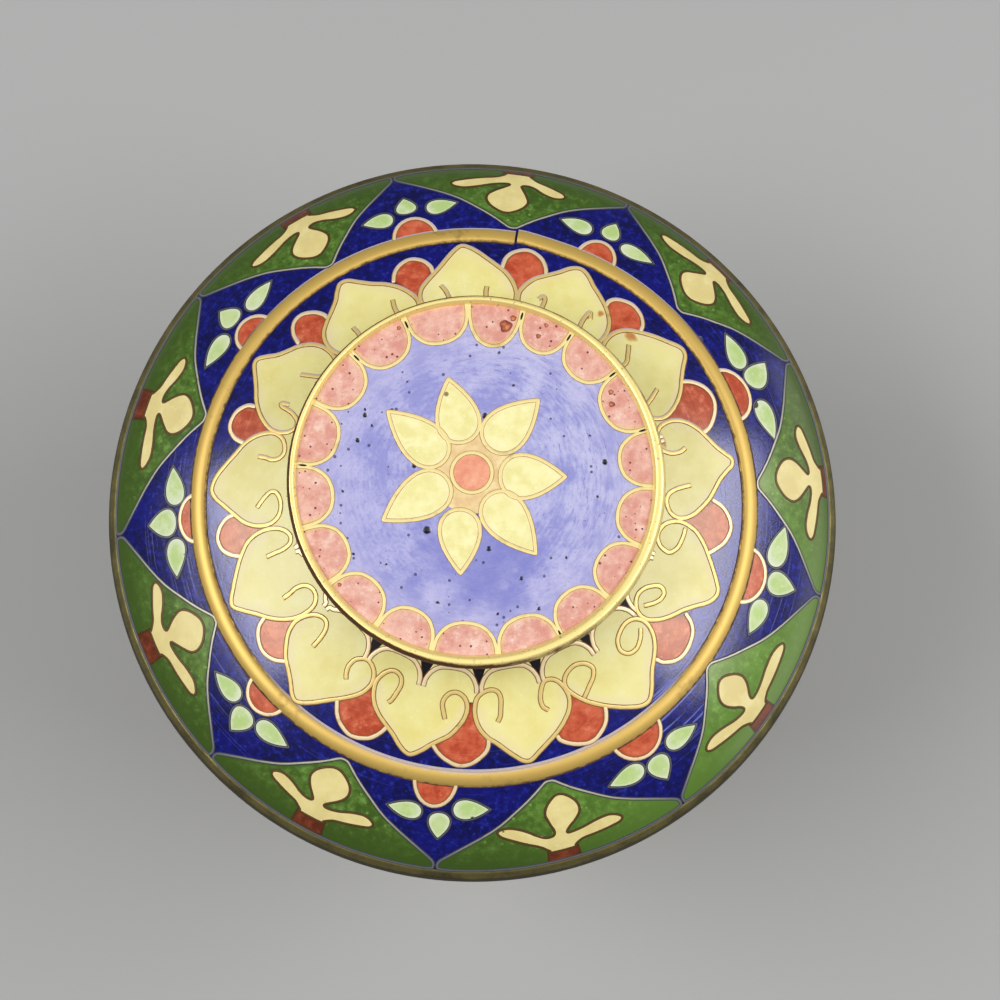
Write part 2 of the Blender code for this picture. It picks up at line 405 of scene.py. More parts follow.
def ground(outline, key):
    """A turned ground. Returns at(turn, place, lift): the point at place on the outline, where key gives
    each outline point's place, turned by turn degrees from the back, and lifted in mm along the normal."""
    radius, height = np.asarray(outline, float).T
    slope_r, slope_z = np.gradient(radius), np.gradient(height)
    length = np.hypot(slope_r, slope_z)

    def at(turn, place, lift):
        out = np.interp(place, key, radius) - lift * np.interp(place, key, slope_z / length)
        up = np.interp(place, key, height) + lift * np.interp(place, key, slope_r / length)
        angle = np.radians(turn)
        return np.stack(np.broadcast_arrays(out * np.sin(angle), out * np.cos(angle), up), -1) * MM

    return at


def inner_side(outline, depth):
    """The same outline, moved by depth along its normals, away from the side that it runs down."""
    slope = unit(np.gradient(np.asarray(outline, float), axis=0))
    return outline + depth * np.stack([slope[:, 1], -slope[:, 0]], -1)


mouth_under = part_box("mouth_ring")[0][2] / MM
bowl_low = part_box("urn_body")[0][2] / MM
BORDER = 38.8
bowl_curve = bezier((BORDER, mouth_under + 0.05), (40.2, 36.0), (29.0, 17.0), (18.4, foot_top + 1.3))
bowl_length = np.concatenate([[0], np.cumsum(np.linalg.norm(np.diff(bowl_curve, axis=0), axis=1))])
on_bowl = ground(bowl_curve, bowl_length)

bowl_inside = inner_side(bowl_curve[::14], WALL)
bowl_inside = bowl_inside[bowl_inside[:, 1] > bowl_low + WALL + 0.6]
cobalt = enamel("cobalt_enamel", (2, 4, 66), (8, 12, 112), (50, 64, 172), grain=1500,
                ior=1.9, tint=(0.78, 0.77, 1.0, 1), scuff=(0.0210, -0.0221, 0.0618))
bowl_outline = np.concatenate([bowl_curve[::8], [(17.3, bowl_low), (0, bowl_low), (0, bowl_low + WALL),
                                                 (14.5, bowl_low + WALL)], bowl_inside[::-1]])
turned("bowl", bowl_outline, cobalt, "enamel", ("urn_body",))


# ------------------------------------------------------------
# Fields and wires on the bowl. Flat wires are bent on edge, soldered to the copper, and the fields between
# them filled with enamel and ground flush: lappets under the mouth, sprigs, and petals above the foot.

FIELD_LIFT = 0.018
OVERLAY_LIFT = 0.030
TOP_LIFT = 0.038
SUNK = 0.06


def smooth_path(points, count=6, closed=False):
    """A curve through the points (Catmull-Rom): each stretch leaves a point parallel to the line that
    joins its neighbours."""
    points = np.asarray(points, float)
    if closed:
        points = np.concatenate([points[-1:], points, points[:2]])
    else:
        points = np.concatenate([2 * points[:1] - points[1:2], points, 2 * points[-1:] - points[-2:-1]])
    a, b, c, d = (points[i:len(points) - 3 + i, None] for i in range(4))
    t = (np.arange(count) / count)[None, :, None]
    curve = 0.5 * (2 * b + (c - a) * t + (2 * a - 5 * b + 4 * c - d) * t ** 2
                   + (3 * b - a - 3 * c + d) * t ** 3).reshape(-1, 2)
    return curve if closed else np.concatenate([curve, points[-2:-1]])


def beside(at, turn, place, side, along):
    """The map places that lie side mm to the right of a place and along mm further on."""
    place = place + np.asarray(along, float)
    radius = np.linalg.norm(at(0 * place, place, 0)[..., :2], axis=-1) / MM
    return np.stack(np.broadcast_arrays(turn + np.degrees(side / radius), place), -1)


WIRE_SIDE = np.array([-1.32, -1.30, -1.0, -0.5, 0.5, 1.0, 1.30, 1.32])
WIRE_RISE = np.array([0, 0.62, 0.72, 1.0, 1.0, 0.72, 0.62, 0])


def wires(name, paths, at, half, rise, material, closed=False):
    """A wire section, ground nearly flat between two seams of solder, carried along each path of map
    places: side is the path's direction crossed with the surface's normal, and open ends are drawn in and
    sunk."""
    vertices, faces, across, back = [], [], [], []
    for path in paths:
        middle = at(path[:, 0], path[:, 1], 0)
        normal = unit(at(path[:, 0], path[:, 1], 1) - middle)
        if closed:
            way = unit(np.roll(middle, -1, 0) - np.roll(middle, 1, 0))
        else:
            way = unit(np.gradient(middle, axis=0))
        width = np.full(len(path), half)
        height = np.full(len(path), rise)
        if not closed:
            ahead = way * half * MM
            middle = np.concatenate([middle[:1] - 0.9 * ahead[:1], middle[:1] - 0.5 * ahead[:1], middle,
                                     middle[-1:] + 0.5 * ahead[-1:], middle[-1:] + 0.9 * ahead[-1:]])
            normal, way = (np.concatenate([v[:1], v[:1], v, v[-1:], v[-1:]]) for v in (normal, way))
            width = np.concatenate([[0.55 * half, 0.85 * half], width, [0.85 * half, 0.55 * half]])
            height = np.concatenate([[-SUNK, 0.8 * rise], height, [0.8 * rise, -SUNK]])
        side = unit(np.cross(way, normal))
        up = np.where(WIRE_RISE[None] > 0, WIRE_RISE[None] * height[:, None], -SUNK)
        rows = (middle[:, None] + side[:, None] * (WIRE_SIDE[None] * width[:, None])[..., None] * MM
                + normal[:, None] * up[..., None] * MM)
        start = sum(map(len, vertices))
        faces.append(grid_faces(len(rows), len(WIRE_SIDE), closed, wrap_columns=True, start=start))
        if not closed:
            faces.append(start + np.arange(len(WIRE_SIDE))[None])
            faces.append(start + len(rows) * len(WIRE_SIDE) - 1 - np.arange(len(WIRE_SIDE))[None])
        vertices.append(rows.reshape(-1, 3))
        across.append(np.tile(WIRE_SIDE, len(rows)))
        # How far each strip faces the back: where a painted silvery highlight is laid along the wire.
        back.append((normal[:, 1:2] * 0.82 + side[:, 1:2] * WIRE_SIDE * 0.57).ravel())
    return make_piece(name, np.concatenate(vertices), faces, material, "brass",
                      across=np.concatenate(across), back=np.concatenate(back))


def stepped(outline, step):
    """The closed outline with points added along its sides, so that no side is longer than step."""
    loop = np.concatenate([outline, outline[:1]])
    along = np.concatenate([[0], np.cumsum(np.linalg.norm(np.diff(loop, axis=0), axis=1))])
    places = np.union1d(along[:-1], np.arange(0, along[-1], step))
    return np.stack([np.interp(places, along, loop[:, 0]), np.interp(places, along, loop[:, 1])], -1)


FIELD_STEP = 0.8


def fields(name, outlines, centres, at, lift, material, node_slot="enamel", rings=6, open_below=0.0):
    """Enamel fields: each outline of map places is drawn in towards its centre in rings, level at lift, and
    its edge goes down into the ground, where it is closed. Its mark falls from 1 at the edge to 0, and to 0
    also at the place open_below, where a field runs on into the next without a wire."""
    vertices, faces, across, count = [], [], [], 0
    share = np.append(1, np.linspace(0.985, 0, rings - 1, endpoint=False))[:, None, None]
    for outline, centre in zip(outlines, centres):
        outline, centre = stepped(np.asarray(outline, float), FIELD_STEP), np.asarray(centre, float)
        places = centre + (outline[None] - centre) * share
        skirt = at(outline[:, 0], outline[:, 1], -SUNK)[None]
        sheet = np.concatenate([skirt, at(places[..., 0], places[..., 1], lift)]).reshape(-1, 3)
        around = len(outline)
        first, last = count + np.arange(around), count + rings * around + np.arange(around)
        faces += [grid_faces(rings + 1, around, wrap_columns=True, start=count),
                  np.stack([last, np.roll(last, -1), np.full(around, count + len(sheet))], -1),
                  np.stack([np.roll(first, -1), first, np.full(around, count + len(sheet) + 1)], -1)]
        vertices += [sheet, at(centre[:1], centre[1:], lift), at(centre[:1], centre[1:], -2 * SUNK)]
        walled = np.clip((outline[:, 1] - open_below) / 1.5, 0, 1) if open_below else np.ones(around)
        across += [np.outer(np.append(1, share), walled).ravel(), [0, 0]]
        count += len(sheet) + 2
    return make_piece(name, np.concatenate(vertices), faces, material, node_slot,
                      across=np.concatenate(across))


def gilt_wire(name, bright, edge, gloss=0.42, edge_from=0.84, polish=0.35, painted_glint=0.0, rim_painted_shade=None):
    """Wire brass: bright on its rubbed top, with a dark line of solder and oxide down each side, and a
    painted silvery highlight down a flank that faces the back. Near the lid's rim it may be darkened as
    painted shade."""
    material, shader, where = new_material(name)
    wander = noise(where, 1500, 3)
    patches = noise(where, 260, 3)
    sides = (abs(where.mark("across")) + (wander - 0.5) * 0.5).between(edge_from - 0.15, edge_from + 0.15)
    tone = ((patches * 0.7 + wander * 0.3).between(0.56, 0.74) * 0.5).blend(bright, edge)
    tone = sides.blend(tone, edge)
    # Painted highlight: a pale silvery streak along the flank that faces the back, where the light catches
    # it.
    if painted_glint:
        back = where.mark("back") + (wander - 0.5) * 0.3
        tone = (back.between(0.34, 0.66) * painted_glint).blend(tone, PAINTED_GLINT)
    # Painted shade: near the height of the lid's rim the wire is darkened.
    if rim_painted_shade:
        tone = (near_rim(where, wander) * 0.75).blend(tone, rim_painted_shade)
    feed(shader, Base_Color=tone, Metallic=(1 - sides) * polish, Roughness=sides * 0.3 + gloss,
         Normal=bumped(wander, 0.35, 0.00002))
    return material


OXIDE = (122, 86, 30)
# The colour of the painted highlight along the wires' back flanks.
PAINTED_GLINT = (214, 204, 212)
pale_wire = gilt_wire("pale_gilt_wire", (242, 212, 134), OXIDE, painted_glint=0.6)
arch_wire = gilt_wire("arch_gilt_wire", (253, 226, 180), OXIDE, painted_glint=0.7)
dull_wire = gilt_wire("dull_gilt_wire", (196, 190, 174), (22, 22, 30), edge_from=0.62,
                      rim_painted_shade=(64, 72, 84))

cream = enamel("cream_enamel", (230, 217, 132), (237, 227, 150), (243, 238, 184), grain=300,
               pinholes=0.05, hole_size=0.10, rings=0.0, rough=0.40, hole=(120, 95, 50),
               edge=(234, 218, 164), edge_from=0.62)
buff = enamel("buff_enamel", (220, 202, 134), (230, 214, 146), (238, 226, 172), grain=400,
              pinholes=0.03, hole_size=0.10, rings=0.0, rough=0.36, hole=(120, 95, 50))
# The green's brighter patch on the right of the lid is painted light, and its darker rim is painted shade.
green = enamel("green_enamel", (60, 90, 26), (90, 126, 48), (132, 170, 86), grain=1200,
               pinholes=0.06, hole_size=0.12, rings=0.15, rough=0.24, specks=0.7, hole=(20, 50, 16),
               rim_painted_shade=(58, 84, 24), edge=(40, 66, 24), edge_from=0.9, ior=1.85,
               tint=(1.0, 1.0, 0.72, 1), painted_light=((0.0305, -0.0225, 0.0590), (150, 205, 84)))
brick = enamel("brick_enamel", (178, 68, 42), (206, 98, 66), (232, 142, 112), grain=900,
               pinholes=0.12, hole_size=0.16, rings=0.3, rough=0.24, hole=(86, 24, 18),
               edge=(128, 46, 22), edge_from=0.78, ior=1.68, tint=(1.0, 1.0, 0.82, 1))
# The pale edge of each leaf is a painted reflection of the sky along its rim.
leaf_green = enamel("leaf_enamel", (180, 206, 128), (200, 216, 156), (224, 232, 206), grain=500,
                    pinholes=0.16, hole_size=0.24, rings=0.0, rough=0.25, hole=(60, 66, 40),
                    edge=(222, 228, 206), edge_from=0.5)
calyx_brown = enamel("calyx_enamel", (92, 40, 20), (120, 56, 32), (142, 78, 54), grain=900,
                     rings=0.0, hole=(40, 16, 10), edge=(70, 44, 20), edge_from=0.7)

CELL_SHARE = np.array([0, 0.035, 0.07, 0.13, 0.23, 0.35, 0.5, 0.65, 0.8, 0.92, 0.985, 0.995, 0.96])
CELL_RISE = np.array([0, 0.006, 0.032, 0.092, 0.19, 0.304, 0.456, 0.585, 0.713, 0.83, 0.906, 0.97, 1.0])


def lappet(tip, left, right, low, high):
    """A pointed lappet: two sides that part from the tip at low, and a straight edge at high."""
    rise = low + CELL_RISE * (high - low)
    right_side = np.stack([tip + CELL_SHARE * (right - tip), rise], -1)
    left_side = np.stack([tip + CELL_SHARE * (left - tip), rise], -1)
    edge = np.linspace(right_side[-1], left_side[-1], 9)[1:-1]
    return smooth_path(np.concatenate([right_side, edge, left_side[:0:-1]]), 5, closed=True)


# Half of a flower's path, from the tip of the bud round a side leaf to the stem: mm aside, and mm outwards.
FLOWER_SIDE = np.array([0, 0.66, 1.42, 2.0, 2.27, 2.1, 1.62, 1.06, 0.66, 0.85, 1.5, 2.4, 3.5, 4.7, 5.6, 6.05,
                        5.7, 4.6, 3.3, 2.3, 1.7, 1.36, 1.3])
FLOWER_OUT = np.array([0, 0.14, 0.6, 1.15, 1.78, 2.4, 3.0, 3.5, 3.92, 4.15, 4.15, 3.9, 3.44, 3.16, 3.3, 3.68,
                       4.1, 4.42, 4.75, 5.0, 5.35, 5.6, 5.75])
FLOWER_STEPS = 4
NECK_POINT = 8


def mirrored(half, sign=1):
    """A closed path's numbers from those of its one half, whose two ends lie on the middle."""
    return np.concatenate([half, sign * half[:0:-1]])


def flower(at, turn, low, wide, long):
    """The cream flower of a lappet: a round bud with a leaf spread to each side of its neck."""
    return smooth_path(beside(at, turn, low, mirrored(FLOWER_SIDE, -1) * wide, mirrored(FLOWER_OUT) * long),
                       FLOWER_STEPS, closed=True)


def bud_and_leaves(path):
    """The two halves of a flower's path, cut through its neck: the bud, and the two side leaves."""
    neck = FLOWER_STEPS * NECK_POINT
    other_neck = len(path) - neck
    return [np.concatenate([path[other_neck:], path[:neck + FLOWER_STEPS]]),
            path[neck - FLOWER_STEPS:other_neck + FLOWER_STEPS + 1]]


def teardrop(root, tip, width, flat=(1, 1), blunt=1.0):
    """A leaf from its round root to its pointed tip: half width sin(t) sin(t/2)^blunt at distance cos(t),
    on a map where one unit of turn and place measures flat mm."""
    root, tip, flat = (np.asarray(value, float) for value in (root, tip, flat))
    way = (tip - root) * flat
    length = np.linalg.norm(way)
    way = way / length
    t = np.linspace(0, 2 * np.pi, 33)[:-1]
    bulge = np.sin(t) * np.abs(np.sin(t / 2)) ** blunt
    bulge *= width / 2 / bulge.max()
    offset = np.cos(t)[:, None] * way * length / 2 + bulge[:, None] * np.array([-way[1], way[0]])
    return (root + tip) / 2 + offset / flat


def leaf(at, root, tip, width):
    """A teardrop on a ground, where a degree of turn is as wide as the ground is round there."""
    radius = np.linalg.norm(at(0.0, (root[1] + tip[1]) / 2, 0)[:2]) / MM
    return teardrop(root, tip, width, (np.radians(1) * radius, 1))


def middles(outlines):
    """The mean of each outline's points."""
    return [outline.mean(0) for outline in outlines]


def half_disc(at, turn, base, half_width, height):
    """An arch of wire on a base line: half an ellipse, as an open path of map places."""
    t = np.linspace(np.pi, 0, 17)
    return beside(at, turn, base, half_width * np.cos(t), height * np.sin(t))


band_height = (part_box("urn_band_wire")[0][2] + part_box("urn_band_wire")[1][2]) / 2 / MM
BOWL_BAND = float(np.interp(-band_height, -bowl_curve[:, 1], bowl_length))
bowl_end = bowl_length[-1]
hand = np.random.default_rng(5)

bowl_tips = 7.5 + np.arange(9) * 40 + hand.uniform(-0.7, 0.7, 9)
bowl_seams = bowl_tips + 20 + hand.uniform(-0.6, 0.6, 9)
bowl_ends = np.append(bowl_seams[-1] - 360, bowl_seams)
bowl_cells = [lappet(tip, left + 0.4, right - 0.4, BOWL_BAND - 1.9, 0.75)
              for tip, left, right in zip(bowl_tips, bowl_ends, bowl_seams)]
fields("bowl_lappets", bowl_cells, [(tip, 6.5) for tip in bowl_tips], on_bowl, FIELD_LIFT, green, rings=9)
wires("bowl_lappet_wires", bowl_cells, on_bowl, 0.20, 0.05, dull_wire, closed=True)
bowl_flowers = [flower(on_bowl, tip, 15.2, 1.35, -2.25) for tip in bowl_tips]
fields("bowl_flowers", [part for path in bowl_flowers for part in bud_and_leaves(path)],
       [(tip, 15.2 - out * 2.25) for tip in bowl_tips for out in (2.0, 4.75)], on_bowl, OVERLAY_LIFT, buff)
wires("bowl_flower_wires", bowl_flowers, on_bowl, 0.15, 0.05, dull_wire, closed=True)

bowl_discs = [half_disc(on_bowl, seam, BOWL_BAND - 0.6, 3.6, -3.6) for seam in bowl_seams]
fields("bowl_half_discs", bowl_discs, [(seam, BOWL_BAND - 1.9) for seam in bowl_seams],
       on_bowl, FIELD_LIFT, brick)
wires("bowl_half_disc_wires", bowl_discs, on_bowl, 0.20, 0.05, arch_wire)
bowl_leaves = []
for seam in bowl_seams:
    spots = beside(on_bowl, seam, BOWL_BAND - 4.6, np.array([0.0, 0.0, -2.4, -9.0, 2.4, 9.0]),
                   np.array([0.0, -6.2, 0.2, -1.6, 0.2, -1.6]))
    bowl_leaves += [leaf(on_bowl, spots[0], spots[1], 3.4), leaf(on_bowl, spots[2], spots[3], 2.9),
                    leaf(on_bowl, spots[4], spots[5], 2.9)]
fields("bowl_leaves", bowl_leaves, middles(bowl_leaves), on_bowl, FIELD_LIFT, leaf_green)
wires("bowl_leaf_wires", bowl_leaves, on_bowl, 0.15, 0.045, dull_wire, closed=True)

PITCH = 360 / 13
PETAL_SIDE = np.array([0.5, 0.5, 0.5, 0.495, 0.46, 0.38, 0.26, 0.13, 0.05, 0])
PETAL_DOWN = np.array([23.6, 18.0, 13.5, 10.6, 8.2, 6.2, 4.4, 2.6, 1.5, 1.1])
bowl_petals = 11.0 + np.arange(13) * PITCH + hand.uniform(-0.5, 0.5, 13)


def bowl_petal(turn):
    """A tall petal that stands on the foot with its point under the heavy wire."""
    side = np.concatenate([-PETAL_SIDE, PETAL_SIDE[-2::-1]]) * (PITCH - 0.6)
    down = np.concatenate([PETAL_DOWN, PETAL_DOWN[-2::-1]])
    return smooth_path(np.stack([turn + side, np.minimum(BOWL_BAND + down, bowl_end - 0.4)], -1), 5)


petal_paths = [bowl_petal(turn) for turn in bowl_petals]
bowl_arches = [half_disc(on_bowl, turn + PITCH / 2, BOWL_BAND + 5.4, 3.7, -4.0) for turn in bowl_petals]
fields("bowl_arches", [np.concatenate([arch, [(turn + PITCH / 2, BOWL_BAND + 10)]])
                       for arch, turn in zip(bowl_arches, bowl_petals)],
       [(turn + PITCH / 2, BOWL_BAND + 4.5) for turn in bowl_petals], on_bowl, FIELD_LIFT, brick)
wires("bowl_arch_wires", bowl_arches, on_bowl, 0.20, 0.05, arch_wire)
fields("bowl_petals", petal_paths, [(turn, BOWL_BAND + 12) for turn in bowl_petals], on_bowl, OVERLAY_LIFT,
       cream, rings=9)
wires("bowl_petal_wires", petal_paths, on_bowl, 0.20, 0.07, pale_wire)


# ------------------------------------------------------------
# Band wire of the bowl. A half-round brass wire bent to a hoop and soldered into the wall at its middle.

WIRE_HALF = 0.75
WIRE_PROUD = 0.34
SEAM_SIDE = 1.26
SEAM_LIFT = 0.025
HOOP_SECTION = 13
HOOP_STEPS = 481
band_brass = gilt_wire("band_brass", (217, 181, 95), (70, 42, 14), 0.46, 1.03, 0.45, painted_glint=0.6)


def hoop(name, at, place, replaced, from_turn=0.0, shift=None):
    """A half-round wire round the axis, WIRE_HALF cos(a) wide and WIRE_PROUD sin(a) proud, between two
    seams of solder, from from_turn all the way round; shift moves its ends across in mm where they meet."""
    angle = np.linspace(0, np.pi, HOOP_SECTION)
    side = np.concatenate([[-SEAM_SIDE], -np.cos(angle), [SEAM_SIDE, SEAM_SIDE, -SEAM_SIDE]])
    lift = np.concatenate([[SEAM_LIFT], WIRE_PROUD * np.sin(angle) + 0.03, [SEAM_LIFT, -0.3, -0.3]])
    turn = np.linspace(0, 360, HOOP_STEPS)[:, None]
    middle = place + (0 * turn if shift is None else shift(turn))
    rows = at(turn + from_turn, middle + side * WIRE_HALF, lift)
    faces = [grid_faces(HOOP_STEPS, len(side), wrap_columns=True),
             np.arange(len(side))[None], (HOOP_STEPS * len(side) - 1 - np.arange(len(side)))[None]]
    if shift is None:
        rows = rows[:-1]
        faces = [grid_faces(HOOP_STEPS - 1, len(side), wrap_rows=True, wrap_columns=True)]
    # How far each strip of the hoop faces the back: where a painted highlight is laid.
    outward = unit(rows[:, HOOP_SECTION] - rows[:, 1])[:, 1:2]
    return make_piece(name, rows.reshape(-1, 3), faces, band_brass, "brass", replaced,
                      across=np.tile(side, len(rows)), back=(outward * side - 0.2).ravel())


hoop("bowl_band", on_bowl, BOWL_BAND, ("urn_band_wire",))


# ------------------------------------------------------------
# Mouth ring. A brass ring soldered round the bowl's mouth, with a step on which the lid sits. Bright where
# it faces up, as painted light from above and wear, and brown where it faces sideways or down, the corner
# under the lid included.

mouth_low, mouth_top = (corner[2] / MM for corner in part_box("mouth_ring"))
mouth_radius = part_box("mouth_ring")[1][0] / MM
mouth_outline = [(36.1, mouth_top), (37.2, mouth_top), (37.2, 54.0), (mouth_radius, 54.0),
                 (mouth_radius, 52.6), (BORDER, mouth_low), (36.1, mouth_low)]
turned("mouth", eased(mouth_outline, 0.25), ring_brass, "brass", ("mouth_ring",))


# ------------------------------------------------------------
# Lid rim. A brass ring bent over the lid's edge and soldered: dark brown all round its shoulder, and painted
# bright along its upper edge, where it faces up, as painted light from above.

rim_low, rim_top = (corner[2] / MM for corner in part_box("lid_rim_ring"))
rim_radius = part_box("lid_rim_ring")[1][0] / MM
rim_brass = old_brass("rim_brass", (152, 141, 86), (54, 48, 22), 0.35, 1.35, gloss=0.46)
rim_outline = [(38.62, 56.0), (38.66, rim_top), (39.0, rim_top - 0.06), (39.65, 56.3), (rim_radius, 55.1),
               (39.5, rim_low), (37.6, rim_low), (37.6, 56.0)]
turned("lid_rim", eased(rim_outline, 0.18), rim_brass, "brass", ("lid_rim_ring",))


# ------------------------------------------------------------
# Lid ground. A domed copper cap under the same cobalt enamel, which its wired fields lie in. The inside of
# the lid is left plain.

lid_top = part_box("lid_dome")[1][2] / MM
KNOB = 17.8
KNOB_FOOT = 67.0
lid_edge = rim_top + 0.1
knob_slope, edge_slope = np.radians(20), np.radians(45)
lid_curve = bezier((KNOB, KNOB_FOOT), (KNOB + 10 * np.cos(knob_slope), KNOB_FOOT - 10 * np.sin(knob_slope)),
                   (BORDER - 4 * np.cos(edge_slope), lid_edge + 4 * np.sin(edge_slope)), (BORDER, lid_edge))
on_lid = ground(lid_curve, lid_curve[:, 0])
crown = smooth_path([(0, lid_top), (6, lid_top - 0.06), (10.5, lid_top - 0.3), (14.5, 67.8),
                     (KNOB, KNOB_FOOT)], 6)[:-1]
lid_skin = np.concatenate([crown, lid_curve[::8]])
lid_under = inner_side(lid_skin, WALL)
lid_under = lid_under[(lid_under[:, 1] > 56.5) & (lid_under[:, 0] > 0.4)][::3]
lid_outline = np.concatenate([lid_skin, [(38.7, 56.3), (36.9, 56.3)], lid_under[::-1],
                              [(0, lid_top - WALL)]])
turned("lid", lid_outline, cobalt, "enamel", ("lid_dome",), ring=False)


# ------------------------------------------------------------
# Green lappets of the lid. Nine pointed cells stand on the rim with their tips at the heavy wire. Each has
# a cream flower on a brown stem block, with a wire round every colour.

# Turn and radius of each lappet's tip, the turns of the seams between them, and those of the stems.
LAPPET_TIPS = [(7.5, 30.4), (46.0, 30.5), (86.0, 30.1), (125.2, 30.0), (165.3, 30.3), (206.5, 30.3),
               (245.2, 29.9), (287.5, 30.0), (328.7, 30.1)]
LAPPET_SEAMS = np.array([-13.8, 26.2, 64.0, 103.7, 144.7, 186.2, 226.5, 265.6, 308.1, 346.2])
STEMS = [7.2, 44.8, 84.8, 125.8, 165.5, 207.6, 246.7, 287.6, 328.7]
CELL_TOP = 38.7
cells = [lappet(tip, left + 0.25, right - 0.25, low, CELL_TOP)
         for (tip, low), left, right in zip(LAPPET_TIPS, LAPPET_SEAMS, LAPPET_SEAMS[1:])]
fields("lid_lappets", cells, [(tip, 35.4) for tip, low in LAPPET_TIPS], on_lid, FIELD_LIFT, green, rings=9)
wires("lid_lappet_wires", cells, on_lid, 0.15, 0.05, dull_wire, closed=True)

# Of each flower: its turn, its shift outwards, and the turn and radius of its left and of its right tip.
FLOWERS = [(5.8, 0.5, -4.2, 36.5, 15.8, 36.2), (45.0, 0.6, 33.7, 37.1, 55.5, 36.6),
           (84.8, 0.45, 75.2, 36.4, 95.0, 36.5), (125.8, 0.0, 113.8, 36.2, 136.5, 35.9),
           (164.2, 0.0, 154.7, 36.6, 176.0, 34.9), (207.0, -0.4, 197.5, 35.6, 216.9, 35.5),
           (245.8, -0.6, 235.7, 35.9, 256.2, 35.0), (287.0, -0.5, 276.5, 36.0, 297.3, 35.3),
           (328.0, 0.1, 317.5, 36.1, 338.3, 35.7)]
BUD_HALF = 1.8


def lid_flower(stem, plump, turn, shift, left_turn, left_out, right_turn, right_out):
    """A flower of the lid, with its bud plump times as wide. Its neck leans over to the stem block, and
    beyond BUD_HALF from the middle its side leaves are stretched and bent to end at their own tips."""
    low = 31.9 + shift
    bud = np.arange(len(FLOWER_SIDE)) < NECK_POINT
    side = mirrored(np.where(bud, FLOWER_SIDE * plump, FLOWER_SIDE), -1)
    out = mirrored(FLOWER_OUT)
    share = np.clip((np.abs(side) - BUD_HALF) / (FLOWER_SIDE.max() - BUD_HALF), 0, 1)
    degrees = np.degrees(1 / (low + out))
    reach = np.where(side > 0, right_turn - turn, turn - left_turn)
    spread = np.minimum(np.abs(side), BUD_HALF) * degrees + share * (reach - BUD_HALF * degrees)
    lean = (1 - share) * (stem - turn) * np.clip((out - 2.6) / 1.6, 0, 1)
    bend = share * (np.where(side > 0, right_out, left_out) - (low + 3.8))
    path = np.stack([turn + lean + np.sign(side) * spread, low + out + bend], -1)
    return smooth_path(path, FLOWER_STEPS, closed=True)


BUD_WIDTHS = [1.0, 1.03, 1.04, 0.80, 0.80, 1.0, 1.02, 1.0, 0.96]
lid_flowers = [lid_flower(stem, plump, *values) for stem, plump, values in zip(STEMS, BUD_WIDTHS, FLOWERS)]
blocks = [stepped(np.array([(stem - 2.6, 37.3 + values[1]), (stem + 2.6, 37.3 + values[1]),
                            (stem + 2.8, CELL_TOP), (stem - 2.8, CELL_TOP)]), 0.4)
          for stem, values in zip(STEMS, FLOWERS)]
fields("calyx_blocks", blocks, middles(blocks), on_lid, OVERLAY_LIFT, calyx_brown)
fields("lid_flowers", [part for path in lid_flowers for part in bud_and_leaves(path)],
       [centre for stem, values in zip(STEMS, FLOWERS)
        for centre in ((values[0], 33.9 + values[1]), (stem, 36.65 + values[1]))], on_lid, TOP_LIFT, buff)
flower_wire = gilt_wire("flower_wire", (104, 72, 30), (52, 40, 10), edge_from=0.7)
wires("lid_flower_wires", lid_flowers, on_lid, 0.13, 0.05, flower_wire, closed=True)


# ------------------------------------------------------------
# Sprigs of the lid. In the blue between two lappets a brick-red half-disc stands on the heavy wire and
# carries three pale green leaves.

BAND = 29.1
# Turns of the left and right end of each half disc, and the radius of its top.
DISCS = [(22.0, 29.7, 32.0), (61.0, 72.0, 31.9), (99.5, 110.5, 31.8), (140.2, 150.7, 32.2),
         (183.8, 192.0, 32.2), (222.5, 231.0, 31.7), (261.7, 271.0, 31.2), (303.5, 311.7, 31.7),
         (343.0, 351.7, 32.1)]
DISC_BASE = BAND + 0.5
DISC_MIDDLE = 30.4
discs = [half_disc(on_lid, (left + right) / 2, DISC_BASE, np.radians(right - left) / 2 * DISC_MIDDLE,
                   top - DISC_BASE) for left, right, top in DISCS]
fields("lid_half_discs", discs, [((left + right) / 2, DISC_MIDDLE) for left, right, top in DISCS],
       on_lid, FIELD_LIFT, brick)
wires("lid_half_disc_wires", discs, on_lid, 0.19, 0.05, arch_wire)

